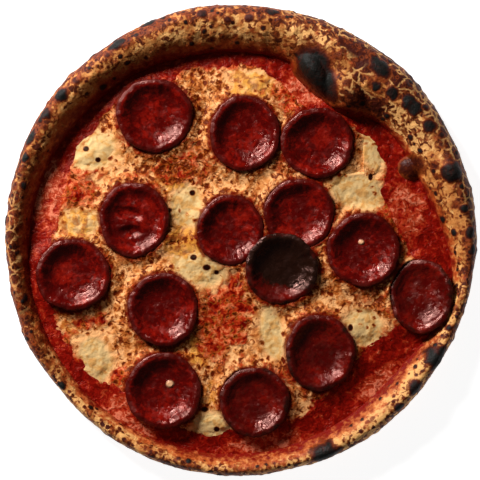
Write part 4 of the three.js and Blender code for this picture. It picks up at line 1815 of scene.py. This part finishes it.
    def build(self) -> bpy.types.Object:
        """Build the cup: its section carried round, with relief, hollows and grains of fat.

        Returns:
            The piece, with masks of rim, burning and fat.
        """
        angle = np.linspace(0.0, TAU, self.columns, endpoint=False)[None, :]
        share, z = self.section(angle)
        places = polar(share * self.reach(angle), angle)
        on_top = (np.arange(len(share)) < self.inside_rows + self.edge_rows // 2)[:, None]
        ring = polar(self.ring_radius, angle) + share[..., None] * self.ring_depth
        z = z + self.relief(places, share, ring) * np.where(on_top, 1.0, self.relief_beneath)
        if self.curl.hollows:
            dents = covered(self.curl.hollows, places + self.middle, soft=0.6)
            z += self.heave * fade(share, *self.heaved) * (1.0 - dents)
        spread = 1.0 + self.edge_waves.over(self.grain, ring[-1:])
        points = self.placed(lifted(places * spread[..., None], z))
        rim = smooth_step(share, *self.rim_band)
        burning = self.curl.doneness.value + rim * self.singeing.over(self.grain, places)
        if self.curl.burnt:
            ragged = self.burnt_edge.over(self.grain, places)
            burning += self.curl.burnt.cover(points[..., :2], ragged, 0.5)
        fat = np.zeros_like(share)
        if self.curl.fat:
            fat = self.curl.fat.cover(points[..., :2], soft=0.35) * on_top
            points[..., 2] += self.fat_height * fat
        masks = {"rim": rim, "burning": np.clip(burning, 0.0, 1.0), "fat": fat}
        return wrapped_skin(points, masks).make(f"curled_slice_{self.index + 1:02d}")

    def placed(self, local: Array) -> Array:
        """Lean the slice up towards its direction and set it at its place.

        Args:
            local: points in mm from where the slice rests.

        Returns:
            The points turned about the level line across the slope, and moved to the slice's middle.
        """
        lean = math.radians(self.curl.lean)
        along = local[..., :2] @ self.uphill
        raised = along * math.sin(lean) + local[..., 2] * math.cos(lean)
        moved = along * (math.cos(lean) - 1.0) - local[..., 2] * math.sin(lean)
        flat = local[..., :2] + moved[..., None] * self.uphill + self.middle
        return lifted(flat, raised + self.level)


# ---- Mozzarella ----


@dataclass
class Pool:
    """One pool of melted mozzarella, lying on the cheese and clear of the slices."""

    index: int
    lobes: tuple[Patch, ...]
    toppings: Toppings
    height: float = 0.9
    skirt: float = 0.45
    depth_under: float = 1.2
    cells: int = 60
    rays: int = 240
    steps: int = 340
    smoothed_over: int = 11
    largest: float = 34.0
    slice_gap: float = 0.15
    deepest: float = 0.5
    dome_falls: Band = (0.35, 1.0)
    outline_at: float = 1.08
    outline_noise: Rough = Rough(0.16, 9.0, 3, 300.0)
    lumps: Rough = Rough(0.2, 6.0, 3, 400.0)

    @property
    def node(self) -> str:
        """Name of the pool's solid."""
        return f"mozzarella_{self.index + 1:02d}"

    def inside(self, places: Array) -> Array:
        """Tell which places lie within the nearest lobe, its edge moved by noise."""
        ratio = np.minimum.reduce([lobe.ratio(places) for lobe in self.lobes])
        return ratio - self.outline_noise.over(self.toppings.grain, places) < self.outline_at

    def outline(self, angle: Array, middle: Array) -> Array:
        """Find the pool's radius in each direction.

        Args:
            angle: directions from the pool's middle.
            middle: where that is, in mm.

        Returns:
            The longest distance along each ray that is still inside, smoothed round the pool and looked
            up between evenly spread rays.
        """
        rays = np.linspace(-math.pi, math.pi, self.rays + 1)[:, None]
        away = np.linspace(0.0, self.largest, self.steps)[None, :]
        radius = np.where(self.inside(middle + polar(away, rays)), away, 0.0).max(axis=1)[:-1]
        weights = np.hanning(self.smoothed_over)
        looped = np.concatenate([radius[-self.smoothed_over :], radius, radius[: self.smoothed_over]])
        smooth = np.convolve(looped, weights / weights.sum(), mode="same")
        smooth = smooth[self.smoothed_over : -self.smoothed_over]
        wrapped = np.arctan2(np.sin(angle), np.cos(angle))
        return np.interp(wrapped, rays[:, 0], np.append(smooth, smooth[0]))

    def build(self) -> bpy.types.Object:
        """Build the pool: a low dome over the cheese whose edge runs out just beneath its surface.

        Returns:
            The piece, with the cheese's masks.
        """
        weights = [lobe.long * lobe.wide for lobe in self.lobes]
        centres = [(lobe.x, lobe.y) for lobe in self.lobes]
        middle = np.average(centres, axis=0, weights=weights)
        share, angle = disc_grid(self.cells)
        places = middle + polar(share * self.outline(angle, middle), angle)
        lumps = self.lumps.over(self.toppings.grain, places)
        cheese = self.toppings.cheese(places)
        dome = (self.height + self.skirt) * fade(share, *self.dome_falls) - self.skirt
        clear = np.maximum(self.toppings.under_slices(places, self.slice_gap), cheese - self.deepest)
        top = np.minimum(cheese + dome + lumps * (1.0 - share**2), clear)
        under = float(cheese.min()) - self.depth_under
        skin = slab_skin(places, top, under, self.toppings.looks(places))
        return skin.make(f"white_pool_{self.index + 1:02d}")


# ---- Studio ----


@dataclass
class Studio:
    """The pale floor, the soft light from the upper left, and the camera straight above."""

    photo_size: int = 480
    pizza_radius_in_photo: float = 235.0
    camera_height: float = 1.5
    sensor: float = 36.0
    widest_level: float = 0.007
    floor_size: float = 6.0
    floor_level: float = -0.0005
    key_turn: float = 130.0
    key_rise: float = 32.0
    key_distance: float = 1.3
    key_size: float = 0.34
    key_power: float = 31.0
    sky_colour: Colour = (1.0, 0.98, 0.96, 1.0)
    sky_strength: float = 0.06

    def place(self, name: str, data: bpy.types.ID) -> bpy.types.Object:
        """Make an object and link it to the scene.

        Args:
            name: the object's name.
            data: its mesh, light or camera.

        Returns:
            The object.
        """
        thing = bpy.data.objects.new(name, data)
        bpy.context.collection.objects.link(thing)
        return thing

    def floor(self) -> None:
        """Lay the floor just under the pizza."""
        corner = self.floor_size / 2.0
        corners = [(-corner, -corner), (corner, -corner), (corner, corner), (-corner, corner)]
        mesh = bpy.data.meshes.new("pale_floor")
        mesh.from_pydata([(x, y, self.floor_level) for x, y in corners], [], [(0, 1, 2, 3)])
        mesh.materials.append(FloorFinish().material())
        self.place("pale_floor", mesh)

    def key_light(self) -> None:
        """Hang a soft square light that faces the pizza from its turn round it and rise over the floor."""
        turn, rise = math.radians(self.key_turn), math.radians(self.key_rise)
        level = math.cos(rise)
        towards = Vector((math.cos(turn) * level, math.sin(turn) * level, math.sin(rise)))
        lamp = bpy.data.lights.new("key", "AREA")
        lamp.size = self.key_size
        lamp.energy = self.key_power
        holder = self.place("key", lamp)
        holder.location = towards * self.key_distance
        holder.rotation_euler = towards.to_track_quat("Z", "Y").to_euler()

    def camera(self) -> None:
        """Set the camera straight above, its lens framing the pizza as wide as in the photo."""
        pixels_per_tangent = self.pizza_radius_in_photo * (self.camera_height - self.widest_level)
        focal_pixels = pixels_per_tangent / (PLAN.radius * MM)
        data = bpy.data.cameras.new("overhead")
        data.sensor_width = self.sensor
        data.lens = focal_pixels * self.sensor / self.photo_size
        eye = self.place("overhead", data)
        eye.location = (0.0, 0.0, self.camera_height)
        bpy.context.scene.camera = eye
        log.info("camera: %.2f m up, lens %.0f mm", self.camera_height, data.lens)

    def sky_light(self) -> None:
        """Light everything faintly and evenly from all round."""
        world = bpy.data.worlds.new("studio")
        world.use_nodes = True
        background = world.node_tree.nodes["Background"]
        background.inputs["Color"].default_value = self.sky_colour
        background.inputs["Strength"].default_value = self.sky_strength
        bpy.context.scene.world = world

    def build(self) -> None:
        """Set up the camera, the floor and the lights, and show colours as they are."""
        self.camera()
        self.floor()
        self.key_light()
        self.sky_light()
        bpy.context.scene.view_settings.view_transform = "Standard"


def main() -> None:
    """Build the pizza from the crust up, then the studio round it."""
    logging.basicConfig(level=logging.INFO, format="%(name)s: %(message)s")
    Studio().build()
    crust = Crust()
    dress(crust.build(), CrustFinish().material(), Slot.CRUST, "crust")
    salami = SalamiFinish().material()
    slices = [Slice(index, curl) for index, curl in enumerate(CURLS)]
    for piece in slices:
        dress(piece.build(), salami, Slot.SALAMI, piece.node)
    toppings = Toppings(slices)
    dress(Sauce(crust, toppings).build(), SauceFinish().material(), Slot.SAUCE, "tomato_sauce")
    dress(Cheese(toppings).build(), CheeseFinish().material("melted_cheese"), Slot.CHEESE, "melted_cheese")
    mozzarella = CheeseFinish().material("mozzarella")
    for index, lobes in enumerate(POOLS):
        pool = Pool(index, lobes, toppings)
        dress(pool.build(), mozzarella, Slot.MOZZARELLA, pool.node)


if __name__ == "__main__":
    main()
